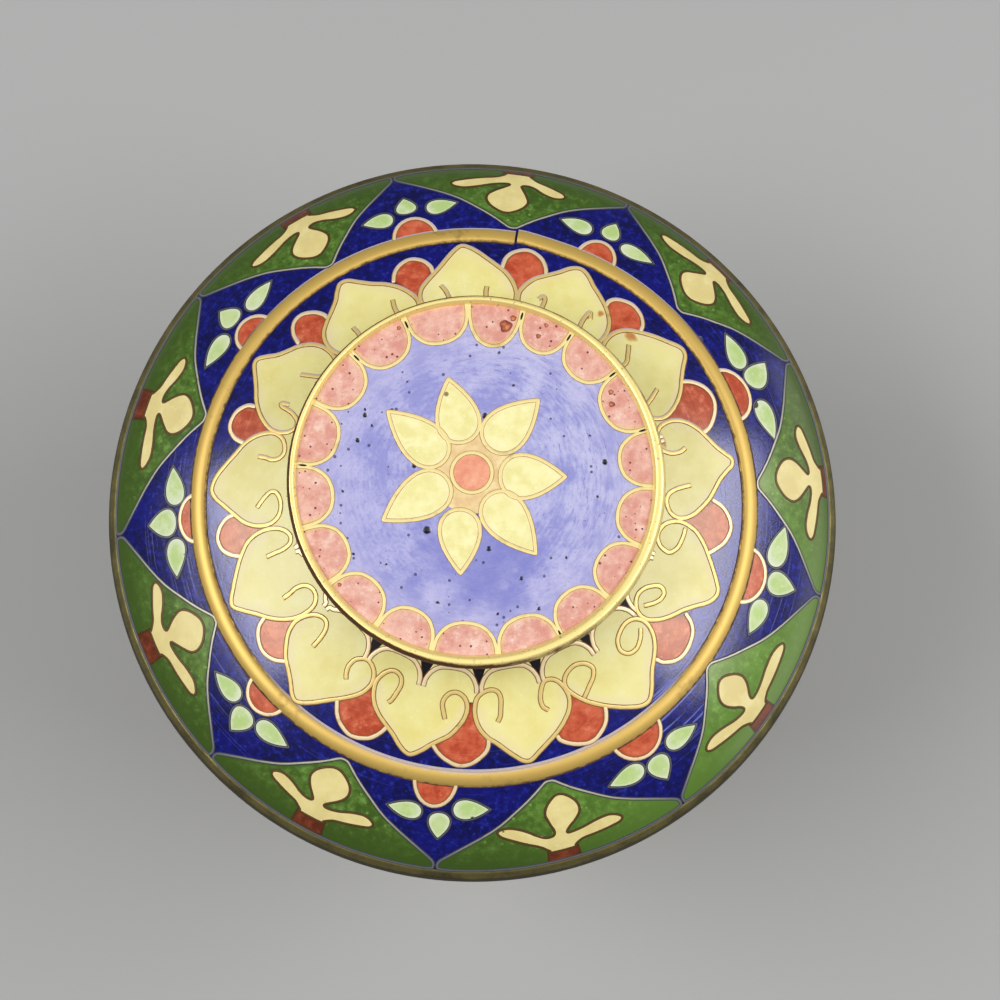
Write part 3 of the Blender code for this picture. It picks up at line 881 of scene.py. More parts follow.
# Turn and radius of each leaf's root, the same of its tip, and its width.
LEAVES = [(22.8, 32.8, 16.0, 33.0, 2.1), (26.0, 32.6, 26.0, 35.3, 2.3), (28.7, 32.6, 36.0, 33.0, 1.9),
          (62.6, 32.4, 54.7, 33.1, 2.3), (66.0, 32.3, 62.7, 35.6, 2.9), (69.0, 32.6, 77.5, 33.1, 2.3),
          (101.8, 32.3, 93.3, 33.3, 2.4), (104.4, 32.0, 104.4, 35.6, 2.8), (108.1, 32.2, 115.6, 32.1, 2.2),
          (142.0, 32.6, 134.8, 33.0, 2.1), (144.9, 32.6, 144.9, 35.6, 2.8), (147.3, 33.0, 155.0, 33.0, 2.1),
          (184.2, 32.3, 177.0, 32.3, 2.2), (186.3, 32.7, 186.3, 35.6, 2.5), (189.5, 33.0, 196.3, 33.0, 1.9),
          (224.6, 32.5, 216.9, 32.3, 2.1), (227.0, 32.2, 227.0, 35.2, 2.9), (229.6, 32.2, 236.8, 32.6, 2.1),
          (263.2, 31.7, 255.5, 32.4, 2.3), (266.3, 31.5, 266.3, 34.9, 3.2), (269.3, 31.5, 277.2, 32.3, 2.3),
          (304.7, 32.2, 296.8, 32.4, 2.1), (307.6, 32.2, 307.6, 35.0, 2.8), (310.6, 32.2, 318.2, 32.9, 2.1),
          (344.3, 32.6, 338.0, 33.1, 2.1), (347.0, 32.8, 347.0, 35.2, 2.5), (350.5, 33.0, 356.8, 33.6, 2.1)]
leaves = [leaf(on_lid, row[:2], row[2:4], row[4]) for row in LEAVES]
fields("lid_leaves", leaves, middles(leaves), on_lid, FIELD_LIFT, leaf_green)
# Its near-black sides are painted shadow round each leaf.
leaf_wire = gilt_wire("leaf_wire", (104, 104, 108), (14, 16, 36), edge_from=0.5)
wires("lid_leaf_wires", leaves, on_lid, 0.11, 0.045, leaf_wire, closed=True)


# ------------------------------------------------------------
# Heavy wire of the lid. A half-round brass wire soldered round the dome. Its two ends butt at the back,
# where one stands a little outside the other, and a dark crack is left between them.

JOINT = 8.8
CRACK = 0.5


def parted(turn, place, lift):
    """The lid's places, with turns drawn together so that a crack of CRACK degrees is left at the joint."""
    return on_lid(JOINT + (turn - JOINT) * (360 - CRACK) / 360, place, lift)


def joint_shift(turn):
    """The first end lies 0.28 mm outside its line and comes back to it within 8 degrees."""
    return 0.28 * np.exp(-(turn / 5.0) ** 2)


hoop("lid_band", parted, BAND, ("lid_band_wire",), from_turn=JOINT, shift=joint_shift)


# ------------------------------------------------------------
# Petals of the lid. Thirteen cream petals inside the heavy wire, their wires curled in at both feet, with
# brick-red arches behind them and a band of small cream lobes at the knob.

# The wire of each petal, from the end of its left curl over the tip to the end of its right curl: the turn
# and the radius of each point.
PETALS = [
    [(17.3, 22.2), (18.2, 22.7), (19.0, 22.2), (18.6, 20.8), (16.5, 19.9), (14.0, 20.0), (12.2, 20.9),
     (11.7, 22.2), (12.6, 23.2), (14.6, 24.4), (17.0, 25.2), (19.6, 26.1), (22.0, 27.2), (24.2, 27.6),
     (26.4, 27.1), (28.5, 26.3), (31.0, 25.6), (34.0, 24.7), (36.6, 23.6), (38.0, 22.4), (38.2, 21.0),
     (36.9, 20.0), (34.5, 19.7), (32.2, 20.1), (30.9, 21.3), (30.8, 22.6), (31.2, 23.3), (32.1, 22.6)],
    [(44.6, 22.9), (46.0, 22.2), (47.8, 21.2), (47.3, 20.1), (45.0, 19.6), (42.2, 19.8), (40.0, 20.6),
     (39.2, 21.8), (39.8, 23.1), (41.6, 24.2), (44.0, 25.0), (47.0, 25.9), (50.0, 26.7), (52.0, 27.3),
     (53.5, 27.5), (55.0, 27.2), (57.0, 26.2), (59.3, 25.3), (62.0, 24.4), (64.6, 23.2), (66.3, 22.0),
     (66.7, 21.0), (65.6, 20.1), (63.3, 19.7), (61.6, 20.2), (60.3, 21.1), (58.7, 22.2)],
    [(76.4, 22.5), (77.2, 21.8), (77.2, 20.8), (76.0, 20.0), (73.5, 19.6), (70.8, 19.9), (68.9, 20.6),
     (68.2, 21.6), (68.6, 22.7), (70.0, 23.7), (72.2, 24.6), (75.0, 25.4), (77.3, 26.1), (79.0, 26.9),
     (80.3, 27.5), (81.7, 27.4), (83.0, 26.7), (85.0, 25.8), (87.5, 25.1), (90.0, 24.4), (92.5, 23.5),
     (94.6, 22.6), (95.9, 21.5), (95.6, 20.6), (94.0, 20.0), (91.5, 19.75), (89.3, 20.0), (87.9, 20.7),
     (87.2, 21.4), (86.5, 22.4)],
    [(98.6, 22.0), (101.0, 21.9), (104.0, 21.6), (106.0, 21.0), (106.2, 20.4), (105.0, 19.6), (102.5, 19.2),
     (100.0, 19.4), (98.0, 20.0), (97.0, 21.0), (97.2, 22.0), (98.6, 23.2), (101.0, 24.2), (103.5, 25.0),
     (106.0, 25.8), (108.5, 26.6), (110.3, 27.1), (112.0, 27.1), (113.8, 26.6), (116.0, 25.5),
     (118.5, 24.5), (121.0, 23.8), (123.5, 23.0), (125.6, 22.0), (126.2, 21.2), (125.6, 20.4),
     (123.5, 19.75), (121.0, 19.6), (118.5, 20.0), (116.6, 20.8), (116.2, 21.4), (117.2, 21.9),
     (119.0, 21.9), (121.0, 21.5), (123.2, 20.8)],
    [(129.0, 21.9), (131.0, 22.5), (133.5, 22.9), (135.8, 22.7), (137.0, 21.9), (136.0, 21.0),
     (133.8, 20.5), (131.0, 20.3), (128.5, 20.6), (127.0, 21.3), (126.8, 22.2), (127.8, 23.2),
     (129.6, 24.1), (132.0, 24.9), (134.5, 25.7), (137.0, 26.9), (139.2, 27.7), (141.3, 27.6),
     (143.8, 26.9), (146.5, 26.0), (149.0, 25.1), (151.5, 24.1), (153.6, 23.0), (154.9, 22.0),
     (154.6, 21.2), (153.0, 20.6), (150.5, 20.3), (148.0, 20.5), (146.5, 21.0), (146.0, 21.6),
     (147.2, 22.3), (149.3, 22.9), (151.6, 23.6)],
    [(161.4, 23.3), (162.4, 22.8), (162.4, 22.0), (161.4, 21.1), (160.0, 20.5), (158.0, 20.5),
     (156.3, 21.0), (155.3, 21.9), (155.2, 23.0), (156.3, 24.0), (158.3, 24.9), (161.0, 25.8),
     (163.6, 26.5), (166.0, 27.2), (168.0, 27.8), (169.6, 27.7), (171.0, 27.2), (173.0, 26.4),
     (175.0, 25.6), (177.0, 25.0), (178.8, 24.1), (179.9, 23.1), (180.2, 22.0), (179.6, 21.0),
     (177.8, 20.4), (175.4, 20.2), (173.6, 20.5), (173.0, 21.2), (173.3, 22.2), (173.6, 22.9),
     (174.3, 23.4)],
    [(187.8, 23.2), (188.3, 22.6), (188.9, 21.8), (188.4, 21.1), (187.0, 20.6), (185.2, 20.5),
     (183.5, 20.8), (182.4, 21.4), (182.2, 22.2), (182.9, 23.1), (184.2, 23.9), (186.0, 24.8),
     (188.0, 25.4), (190.0, 26.0), (192.0, 26.8), (194.0, 27.4), (195.4, 27.3), (197.0, 26.8),
     (199.0, 26.0), (201.0, 25.4), (203.5, 24.7), (205.6, 23.9), (207.1, 22.9), (207.8, 21.8),
     (207.2, 20.9), (205.7, 20.2), (203.8, 20.0), (202.0, 20.3), (201.2, 21.0), (201.5, 21.9),
     (202.1, 22.8), (202.6, 23.1)],
    [(215.0, 23.1), (215.8, 22.6), (216.3, 21.9), (215.9, 21.1), (214.6, 20.6), (213.0, 20.35),
     (211.2, 20.5), (209.6, 21.0), (208.7, 21.8), (208.8, 22.6), (209.8, 23.5), (211.5, 24.3),
     (213.5, 25.1), (215.6, 25.9), (217.8, 26.9), (220.0, 27.8), (221.5, 28.1), (223.0, 27.8),
     (225.0, 27.0), (227.3, 26.3), (229.6, 25.7), (231.8, 24.8), (233.6, 23.9), (234.7, 22.8),
     (234.4, 21.7), (233.0, 20.7), (231.0, 20.2), (229.0, 20.2), (227.6, 20.8), (227.0, 21.7),
     (226.8, 22.8)],
    [(241.6, 22.4), (241.8, 21.6), (242.2, 20.8), (241.7, 20.0), (240.3, 19.5), (238.4, 19.35),
     (236.4, 19.6), (235.1, 20.2), (234.8, 21.1), (235.2, 22.1), (236.3, 23.1), (238.0, 24.1),
     (240.0, 25.0), (242.0, 25.8), (244.0, 26.8), (245.8, 27.6), (247.3, 27.5), (249.3, 26.9),
     (251.8, 26.2), (254.3, 25.5), (256.6, 24.8), (258.7, 24.0), (260.1, 22.9), (260.6, 21.7),
     (260.1, 20.6), (258.6, 19.8), (256.6, 19.5), (254.8, 19.8), (253.9, 20.6), (253.7, 21.5),
     (253.5, 22.4)],
    [(267.0, 22.6), (269.2, 21.9), (270.8, 21.2), (270.6, 20.6), (268.8, 20.2), (266.3, 20.1),
     (263.8, 20.4), (262.2, 21.1), (261.8, 22.1), (262.4, 23.2), (263.8, 24.2), (265.8, 25.1),
     (268.0, 26.1), (270.0, 27.1), (271.8, 27.6), (273.6, 27.5), (275.5, 27.1), (278.0, 26.3),
     (280.6, 25.5), (283.2, 24.8), (285.4, 23.9), (286.9, 22.8), (287.4, 21.8), (286.4, 20.9),
     (284.4, 20.4), (282.2, 20.3), (280.6, 20.7), (280.0, 21.4), (280.4, 22.2), (280.5, 22.9)],
    [(296.2, 21.7), (295.9, 22.4), (295.1, 22.3), (294.4, 21.0), (292.8, 20.1), (290.6, 19.9),
     (288.7, 20.5), (287.9, 21.5), (288.3, 22.5), (289.8, 23.5), (291.8, 24.4), (294.2, 25.2),
     (297.0, 25.9), (299.5, 26.7), (301.8, 27.5), (303.2, 27.5), (304.5, 26.9), (306.3, 25.9),
     (308.6, 25.2), (311.0, 24.6), (313.2, 23.7), (314.6, 22.6), (314.9, 21.4), (314.0, 20.3),
     (311.7, 19.7), (309.3, 19.8), (307.4, 20.5), (306.2, 21.4), (305.2, 22.3)],
    [(324.3, 22.0), (324.4, 21.0), (323.4, 20.0), (321.0, 19.6), (318.3, 19.8), (316.4, 20.6),
     (315.7, 21.7), (316.2, 22.8), (317.6, 23.7), (319.8, 24.4), (322.5, 25.1), (325.0, 25.9),
     (326.7, 26.8), (328.2, 27.4), (330.0, 27.3), (332.0, 26.5), (334.5, 25.6), (337.3, 24.9),
     (340.0, 24.0), (342.2, 22.9), (343.6, 21.7), (343.2, 20.5), (341.2, 19.8), (338.8, 19.8),
     (337.2, 20.6), (336.9, 21.7), (337.3, 22.7)],
    [(350.8, 22.9), (351.7, 22.2), (352.3, 21.2), (351.6, 20.2), (349.4, 19.7), (346.8, 19.9),
     (345.0, 20.7), (344.4, 21.8), (345.2, 22.8), (347.0, 23.6), (349.2, 24.4), (351.4, 25.3),
     (353.2, 26.2), (355.0, 27.1), (356.7, 27.7), (358.4, 27.5), (360.4, 26.9), (362.6, 26.1),
     (365.0, 25.3), (367.4, 24.5), (369.6, 23.4), (371.0, 22.2), (371.1, 21.0), (369.8, 20.1),
     (367.2, 19.7), (364.6, 19.9), (363.1, 20.8), (362.7, 21.8), (362.9, 22.5)],
]
# The turn of the gap between two petals, and the wire of the arch that stands over it.
ARCHES = [
    (11.3, [(6.4, 25.2), (7.0, 26.3), (8.5, 27.2), (11.5, 27.8), (14.5, 27.3), (16.3, 26.3), (17.0, 25.4)]),
    (38.6, [(33.4, 25.0), (33.6, 25.8), (35.0, 26.5), (38.0, 27.0), (41.0, 26.7), (43.0, 26.0),
            (43.8, 25.3)]),
    (67.4, [(59.8, 25.3), (61.0, 26.3), (63.0, 27.2), (65.5, 27.6), (68.0, 27.4), (70.5, 26.7),
            (72.5, 25.8), (73.3, 25.0)]),
    (96.3, [(90.0, 24.9), (91.5, 26.0), (94.0, 26.8), (96.5, 27.0), (99.5, 26.5), (101.5, 25.7),
            (103.0, 25.0)]),
    (126.5, [(118.8, 25.0), (120.0, 26.0), (122.0, 26.7), (125.5, 27.1), (128.5, 26.9), (131.0, 26.0),
            (131.8, 25.2)]),
    (155.0, [(148.2, 25.5), (149.5, 26.7), (151.5, 27.5), (154.5, 28.0), (158.0, 27.5), (160.5, 26.7),
            (161.0, 26.2)]),
    (181.0, [(176.8, 25.2), (177.3, 26.2), (179.0, 27.0), (181.0, 27.6), (183.5, 27.8), (186.0, 27.4),
            (188.0, 26.8), (189.5, 26.1)]),
    (208.2, [(200.8, 25.4), (202.0, 26.4), (204.0, 27.3), (207.5, 27.8), (210.5, 27.3), (212.5, 26.5),
            (214.0, 25.4)]),
    (234.8, [(229.0, 26.0), (231.0, 26.8), (234.0, 27.2), (237.0, 26.8), (239.0, 26.1), (240.0, 25.2)]),
    (261.3, [(255.8, 25.2), (256.8, 26.1), (258.5, 26.9), (261.0, 27.2), (263.5, 26.8), (265.3, 26.0),
            (265.8, 25.3)]),
    (287.7, [(283.4, 25.0), (284.2, 26.0), (286.0, 26.8), (288.0, 27.0), (290.5, 26.7), (292.3, 25.9),
            (292.7, 25.1)]),
    (315.3, [(311.5, 25.0), (312.5, 26.1), (314.5, 27.0), (317.0, 27.1), (319.3, 26.4), (320.6, 25.5),
            (320.8, 24.9)]),
    (344.0, [(339.5, 24.9), (340.5, 25.8), (342.5, 26.6), (345.0, 26.9), (347.5, 26.4), (349.0, 25.5),
            (349.3, 24.8)]),
]

arches = [smooth_path(wire, 5) for gap, wire in ARCHES]
fields("lid_arches", [np.concatenate([arch, [(gap, 21.3)]]) for arch, (gap, wire) in zip(arches, ARCHES)],
       [(gap, 25.6) for gap, wire in ARCHES], on_lid, FIELD_LIFT, brick)
wires("lid_arch_wires", arches, on_lid, 0.21, 0.06, arch_wire)

PETAL_FOOT = 20.2
petal_wires = [smooth_path(wire, 5) for wire in PETALS]


def petal_field(wire):
    """The petal inside its wire: the outside of the two curls, closed along the band of lobes."""
    widest_left, widest_right = wire[:, 0].argmin(), wire[:, 0].argmax()
    low_left = wire[:widest_left, 1].argmin()
    low_right = widest_right + wire[widest_right:, 1].argmin()
    foot = [(wire[low_right, 0] - 1, PETAL_FOOT), (wire[low_left, 0] + 1, PETAL_FOOT)]
    return np.concatenate([wire[low_left:low_right + 1], foot])


petal_outlines = [petal_field(wire) for wire in petal_wires]
fields("lid_petals", petal_outlines,
       [(outline[:, 0].min() / 2 + outline[:, 0].max() / 2, 23.0) for outline in petal_outlines],
       on_lid, OVERLAY_LIFT, cream, rings=8, open_below=PETAL_FOOT)

# Turns of the gaps between the lobes, and those gaps that the wires close.
LOBES = np.array([109.0, 126.5, 143.0, 160.7, 179.0, 195.8, 213.2, 232.5, 252.5, 270.5, 288.5, 306.5, 324.5,
                  342.5, 360.5, 378.5, 396.5, 414.5, 432.5, 450.5, 469.0])
CLOSED = [109.0, 232.5, 252.5, 270.5, 288.5, 450.5, 469.0]
LOBE_END = 21.4
# Near-black painted shade for the open gaps between the lobes, where the blue ground lies under the knob's
# overhang, and for the joint gaps of the plate.
gap_shade = enamel("gap_shade_enamel", (14, 4, 10), (22, 8, 22), (44, 30, 56), rough=0.5, rings=0.0, ior=1.3)
lobe_rows = np.append(np.linspace(KNOB, LOBE_END, 9), LOBE_END + 0.02)[:, None]
lobe_turns = np.arange(0, 360, 1.5)
lobe_band = on_lid(lobe_turns, lobe_rows, np.where(lobe_rows > LOBE_END + 0.01, -SUNK, OVERLAY_LIFT - 0.002))
make_piece("lobe_band", lobe_band.reshape(-1, 3), [grid_faces(*lobe_band.shape[:2], wrap_columns=True)],
           cream, "enamel")
# Brown stains on three petals: turn, radius, and half sizes in degrees and mm.
STAINS = [(33.6, 23.8, 0.9, 0.45), (43.0, 23.85, 2.1, 0.6), (73.2, 20.3, 2.4, 0.35)]
stain = enamel("stain_enamel", (180, 112, 60), (206, 144, 82), (220, 176, 110), rings=0.0, rough=0.4,
               edge=(230, 214, 136), edge_from=0.5)
t = np.linspace(0, 2 * np.pi, 25)[:-1]
blot = np.stack([np.cos(t) * (1 + 0.2 * np.sin(3 * t)), np.sin(t)], -1)
fields("petal_stains", [blot * row[2:] + row[:2] for row in STAINS], [row[:2] for row in STAINS],
       on_lid, TOP_LIFT, stain)
# The open gaps are painted shade: near-black fields between the lobes at the foot of the collar.
open_gaps = [gap for gap in LOBES if gap not in CLOSED]
gaps = [beside(on_lid, gap, KNOB, np.array([0.72, 0.45, 0.12, -0.12, -0.45, -0.72]),
               np.array([0.1, 0.9, 2.3, 2.3, 0.9, 0.1])) for gap in open_gaps]
fields("lobe_gaps", gaps, [(gap, 18.9) for gap in open_gaps], on_lid, TOP_LIFT, gap_shade)
lobe_wires = []
for first, last in zip(LOBES, LOBES[1:]):
    middle = (first + last) / 2
    top, end = (19.35 if place in CLOSED else 20.4 for place in (first, last))
    lobe_wires.append(smooth_path([(first + 0.7, top), (first + 0.9, top * 0.6 + 7.4), (first + 2.2, 18.8),
                                   (first + 4.6, 18.25), (middle, 18.1), (last - 4.6, 18.25),
                                   (last - 2.2, 18.8), (last - 0.9, end * 0.6 + 7.4), (last - 0.7, end)], 5))
wires("lobe_wires", lobe_wires, on_lid, 0.21, 0.06, arch_wire)
wires("lid_petal_wires", petal_wires, on_lid, 0.21, 0.07, pale_wire)


# ------------------------------------------------------------
# Knob collar. A brass tube soldered on the crown, its top edge folded in over the plate as a flat bead, a
# little wider to the right and front: bright on the bead, partly as wear where hands rub it, and darkened
# towards the bead's outer edge as painted shade, most on the side away from the light at the right; brown
# down the outside.

knob_low, knob_top = (corner[2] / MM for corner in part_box("knob_collar"))
BEAD_OUT = 18.72
collar_brass = old_brass("collar_brass", (255, 232, 150), (84, 46, 10), 0.15, 0.75, gloss=0.38, polish=0.48)
angle = np.radians(np.arange(360))[:, None]
bead_in = 17.62 + 0.2 * np.cos(angle) - 0.2 * np.sin(angle)
share = np.linspace(0, 1, 17)
bead_height = knob_top - 0.5 * np.abs(2 * share - 1) ** 3 - 0.25 * share ** 8
wall = eased([(BEAD_OUT, knob_top - 0.75), (18.5, 73.3), (17.95, 72.7), (17.85, knob_low),
              (16.4, knob_low + 0.4), (16.4, 71.9), (16.6, 71.9)], 0.22, closed=False)[1:]
wall_radius = np.broadcast_to(wall[:, 0], (len(angle), len(wall)))
radius = np.concatenate([bead_in + (BEAD_OUT - bead_in) * share, wall_radius, bead_in], 1)
height = np.broadcast_to(np.concatenate([bead_height, wall[:, 1], [73.0]]), radius.shape)
# Painted shade: the bead is darkened towards its outer edge, most on the side turned from the light at 105
# degrees, and the wall down the outside is kept brown.
shaded_side = 0.5 - 0.5 * np.cos(angle - np.radians(105))
facing = np.full(radius.shape, 0.08)
facing[:, :len(share)] = 1.0 - (0.35 + 1.6 * shaded_side) * np.clip((share - 0.56) / 0.3, 0, 1)
collar = np.stack([radius * np.sin(angle), radius * np.cos(angle), height], -1) * MM
make_piece("collar", collar.reshape(-1, 3), [grid_faces(*radius.shape, True, True)], collar_brass, "brass",
           ("knob_collar",), facing=facing.ravel())


# ------------------------------------------------------------
# Knob plate. An enamelled disc let into the collar: lavender ground, eighteen pink scallops round the edge,
# and a flower of seven petals about a round centre, off the middle as the maker set it.

plate_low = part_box("knob_plate")[0][2] / MM
plate_top = 73.95
PLATE = 18.0


def on_plate(x, y, lift):
    """The plate's face, in mm across it: nearly flat, 0.2 mm lower at the middle."""
    drop = 0.05 + 0.2 * (1 - np.minimum(np.hypot(x, y) / PLATE, 1))
    return np.stack(np.broadcast_arrays(x, y, plate_top - drop + lift), -1) * MM


def round_plate(turn, place, lift):
    """The plate's face by the turn from the back and the distance from the axis."""
    return on_plate(place * np.sin(np.radians(turn)), place * np.cos(np.radians(turn)), lift)


# Pits in the lavender enamel: x, y and radius in mm.
PITS = np.array([(-4.91, -5.02, 0.46), (1.18, -6.84, 0.29), (12.66, 1.90, 0.33), (0.80, 6.50, 0.36),
                 (-8.44, 6.96, 0.24), (-11.10, 6.46, 0.27), (-11.79, 3.92, 0.27), (4.37, -9.77, 0.22),
                 (6.08, -12.78, 0.20), (0.95, 3.25, 0.2), (-6.2, 1.40, 0.26), (-11.1, 7.0, 0.15),
                 (-10.4, 5.4, 0.16), (3.6, 9.6, 0.14), (2.2, 12.9, 0.16), (11.9, -1.6, 0.15),
                 (-12.1, -7.4, 0.16), (-3.8, -12.2, 0.17), (2.1, -13.3, 0.15), (-8.9, -8.4, 0.13),
                 (8.8, -7.7, 0.13), (11.2, 4.6, 0.13), (-9.7, -10.3, 0.13), (-6.9, 9.9, 0.13),
                 (-13.2, -1.2, 0.13)])
PIT_DEPTH = 0.16
SPOKES = 450

rows = np.concatenate([np.linspace(0.05, 2.9, 8), np.linspace(3.0, 14.4, 104), np.linspace(14.7, PLATE, 8),
                       [PLATE]])[:, None]
spokes = np.radians(np.arange(SPOKES) * 360 / SPOKES)
across_x, across_y = rows * np.sin(spokes), rows * np.cos(spokes)
nearness = 1 - np.hypot(across_x[..., None] - PITS[:, 0], across_y[..., None] - PITS[:, 1]) / PITS[:, 2]
pit = np.clip(nearness, 0, 1).max(-1)
face = on_plate(across_x, across_y, -PIT_DEPTH * np.sqrt(pit) * (pit > 0))
face[-1, :, :2] *= 17.5 / PLATE
face[-1, :, 2] = plate_low * MM
plate_points = np.concatenate([face.reshape(-1, 3), on_plate(0.0, 0.0, 0.0)[None], [(0, 0, plate_low * MM)]])
middle, under = len(rows) * SPOKES, len(rows) * SPOKES + 1
plate_faces = [grid_faces(len(rows), SPOKES, wrap_columns=True)]
for first, centre in ((0, middle), ((len(rows) - 1) * SPOKES, under)):
    edge = first + np.arange(SPOKES)
    plate_faces.append(np.stack([edge, np.roll(edge, -1), np.full(SPOKES, centre)], -1))

lavender, shader, where = new_material("lavender_enamel")
side = where.node("SeparateXYZ", None, {"Vector": where})
rise = side.also("Y")
streaks = noise(round_the_axis(where, 2600, 7), 1.0, 4, 0.6)
hairs = noise(round_the_axis(where, 7000, 9), 1.0, 3, 0.65)
clouds = noise(where, 240, 4, 0.6)
fine = noise(where, 2600, 3, 0.6)
radius = (side * side + rise * rise) ** 0.5
# Painted sheen: a paler cloud over the right-hand side of the plate, where it catches the light.
right_side = (side * 90 + rise * 45 + (clouds - 0.5) * 2.0).between(0.1, 1.1)
low_part = ((side + 0.0005) ** 2 + (rise + 0.0075) ** 2) ** 0.5
low_part = (low_part * 140 + (clouds - 0.5) * 1.6).between(0.4, 1.2)
tone = (fine * 0.3 + streaks * 0.25 + clouds * 0.45).between(0.42, 0.58)
tone = tone.blend((140, 141, 200), (178, 176, 217))
tone = ((1 - low_part) * 0.7).blend(tone, (116, 118, 190))
# The painted sheen is laid on the right-hand side here.
tone = (right_side * (clouds * 0.5 + streaks * 0.5).between(0.38, 0.58) * 0.6).blend(tone, (190, 190, 222))
tone = ((radius + (clouds - 0.5) * 0.004).between(0.0110, 0.0145) * 0.35).blend(tone, (188, 182, 214))
tone = (fine.between(0.50, 0.66) * 0.28).blend(tone, (112, 112, 178))
tone = (hairs.between(0.58, 0.70) * (0.35 + right_side * 0.3)).blend(tone, (84, 86, 160))
pits = where.mark("across").between(0.02, 0.30)
specks, chance = scattered(where, 1500)
tiny = (chance.between(0.72, 1.0) * 0.28 - specks).between(0.0, 0.05) * 0.8
tone = tiny.blend(tone, (50, 40, 90))
tone = pits.blend(tone, (20, 18, 40))
feed(shader, Base_Color=tone, Roughness=hairs.between(0.5, 0.7) * 0.2 + 0.26,
     Normal=bumped(hairs * 0.4 + fine * 0.4 + streaks * 0.3 - tiny, 0.5, 0.00004))
make_piece("plate", plate_points, plate_faces, lavender, "plate_enamel", ("knob_plate",),
           across=np.append(pit.ravel(), [0, 0]))

pink = enamel("pink_enamel", (208, 140, 124), (225, 174, 156), (240, 214, 200), grain=900,
              pinholes=0.75, hole_size=0.26, rings=0.5, rough=0.28, hole=(110, 40, 50), hole_grid=1900,
              edge=(226, 186, 116), edge_from=0.74)
plate_wire = gilt_wire("plate_wire", (243, 222, 154), (146, 110, 54), edge_from=1.0)
# Turns of the joints between the scallops, and half a scallop: side, where 1 is half its width, and radius.
SCALLOP_EDGES = [-3.0, 15.0, 32.3, 51.5, 72.9, 92.1, 112.2, 132.2, 151.9, 173.0, 194.6, 214.1, 234.3, 253.9,
                 274.5, 295.5, 315.6, 335.8, 357.0]
SCALLOP = np.array([(-0.95, PLATE), (-0.95, 16.6), (-0.86, 15.6), (-0.62, 14.75), (-0.3, 14.35), (0, 14.25)])
scallop_side = np.append(SCALLOP[:, 0], -SCALLOP[-2::-1, 0])
scallop_out = np.append(SCALLOP[:, 1], SCALLOP[-2::-1, 1])
scallops = []
for left, right in zip(SCALLOP_EDGES, SCALLOP_EDGES[1:]):
    depth = 1.16 if left < 0 else 1.0
    scallops.append(smooth_path(np.stack([(left + right) / 2 + scallop_side * (right - left) / 2,
                                          PLATE - (PLATE - scallop_out) * depth], -1), 4))
fields("plate_scallops", scallops, [(path[:, 0].mean(), 16.3) for path in scallops],
       round_plate, FIELD_LIFT, pink, "plate_enamel")
wires("plate_scallop_wires", scallops, round_plate, 0.155, 0.06, plate_wire)

heart = (-0.5, 0.76)
t = np.linspace(0, 2 * np.pi, 49)[:-1]
circle = np.stack([np.cos(t), np.sin(t)], -1)
PLATE_WIRE = (0.165, 0.06)
blush = enamel("blush_enamel", (220, 184, 130), (232, 206, 150), (240, 220, 170), rings=0.0)
fields("plate_blush", [circle * 4.1 + heart], [heart], on_plate, 0.007, blush, "plate_enamel")
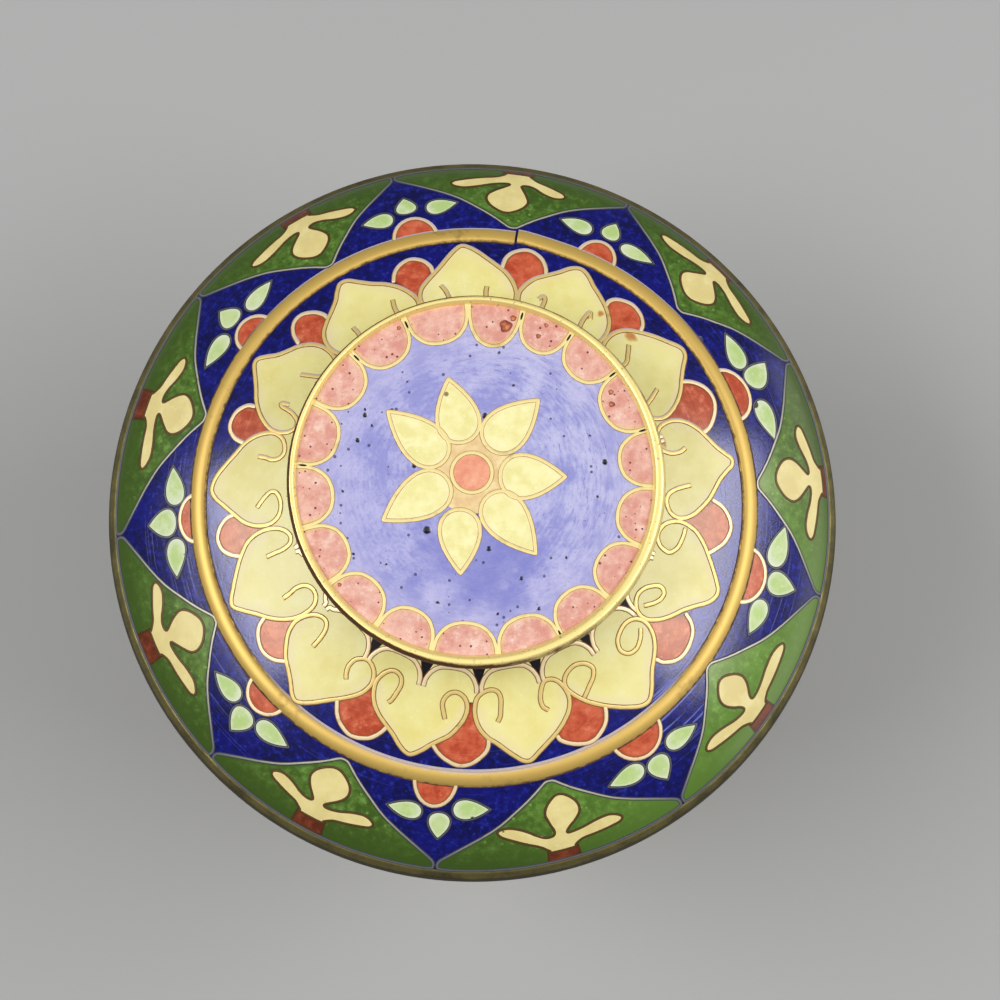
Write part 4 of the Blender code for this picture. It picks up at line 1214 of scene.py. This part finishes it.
# Of each petal: x and y of its root, x and y of its tip, and its width.
PLATE_PETALS = [(-1.33, 3.80, -2.85, 10.19, 4.2), (1.03, 3.35, 6.08, 8.10, 4.3),
                (2.28, 0.38, 8.75, 0.38, 4.4), (1.14, -1.52, 5.78, -7.34, 4.3),
                (-1.71, -2.93, -1.60, -9.32, 4.0), (-2.85, 0.0, -9.2, -4.07, 4.4),
                (-3.23, 1.90, -8.82, 6.84, 4.2)]
plate_petals = [teardrop(row[:2], row[2:4], row[4]) for row in PLATE_PETALS]
ivory = enamel("ivory_enamel", (226, 216, 142), (236, 229, 164), (243, 240, 196), grain=700,
               pinholes=0.15, hole_size=0.10, rings=0.0, rough=0.40, hole=(140, 120, 70),
               edge=(236, 224, 170), edge_from=0.7)
fields("plate_petals", plate_petals, middles(plate_petals), on_plate, OVERLAY_LIFT, ivory, "plate_enamel")
wires("plate_petal_wires", plate_petals, on_plate, *PLATE_WIRE, plate_wire, closed=True)
rose = enamel("rose_enamel", (220, 136, 106), (232, 160, 126), (240, 184, 150), grain=900,
              pinholes=0.2, hole_size=0.2, rings=0.2, rough=0.28, hole=(120, 40, 40), hole_grid=700)
fields("plate_heart", [circle * 1.9 + heart], [heart], on_plate, FIELD_LIFT, rose, "plate_enamel")
wires("plate_heart_wire", [circle * 2.0 + heart], on_plate, *PLATE_WIRE, plate_wire, closed=True)

chip, shader, where = new_material("rust_chip")
crumbs = noise(where, 1500, 4)
tone = crumbs.between(0.38, 0.62).blend((150, 60, 40), (206, 128, 76))
tone = (where.mark("across").between(0.45, 0.8) * 0.7).blend(tone, (104, 36, 28))
feed(shader, Base_Color=tone, Roughness=0.5, Normal=bumped(crumbs, 1.0, 0.0001))
# Chips down to rust: x, y and radius in mm. And where a gap is left in the joint of two scallops.
CHIPS = [(2.85, 15.6, 0.62), (6.9, 15.7, 0.2), (6.1, 14.6, 0.24), (13.31, 8.94, 0.26), (13.38, 7.72, 0.28),
         (3.6, 16.4, 0.3), (-13.4, -10.5, 0.2), (-7.8, 15.3, 0.2), (15.6, -6.4, 0.18)]
ragged = 1 + 0.09 * np.sin(3 * t + 1) + 0.06 * np.sin(5 * t)
chips = [circle * radius * ragged[:, None] + (x, y) for x, y, radius in CHIPS]
fields("plate_chips", chips, [row[:2] for row in CHIPS], on_plate, OVERLAY_LIFT, chip, "plate_enamel")
JOINT_GAPS = [(15.0, 17.2), (32.3, 17.1), (51.5, 17.2), (72.9, 17.2), (151.9, 17.3), (274.5, 17.2),
              (315.6, 17.1), (335.8, 17.15)]
# Each joint gap is a near-black field, painted shade in the gap.
fields("plate_gaps", [circle * (0.35, 0.4) + gap for gap in JOINT_GAPS], JOINT_GAPS,
       round_plate, 0.075, gap_shade, "plate_enamel")
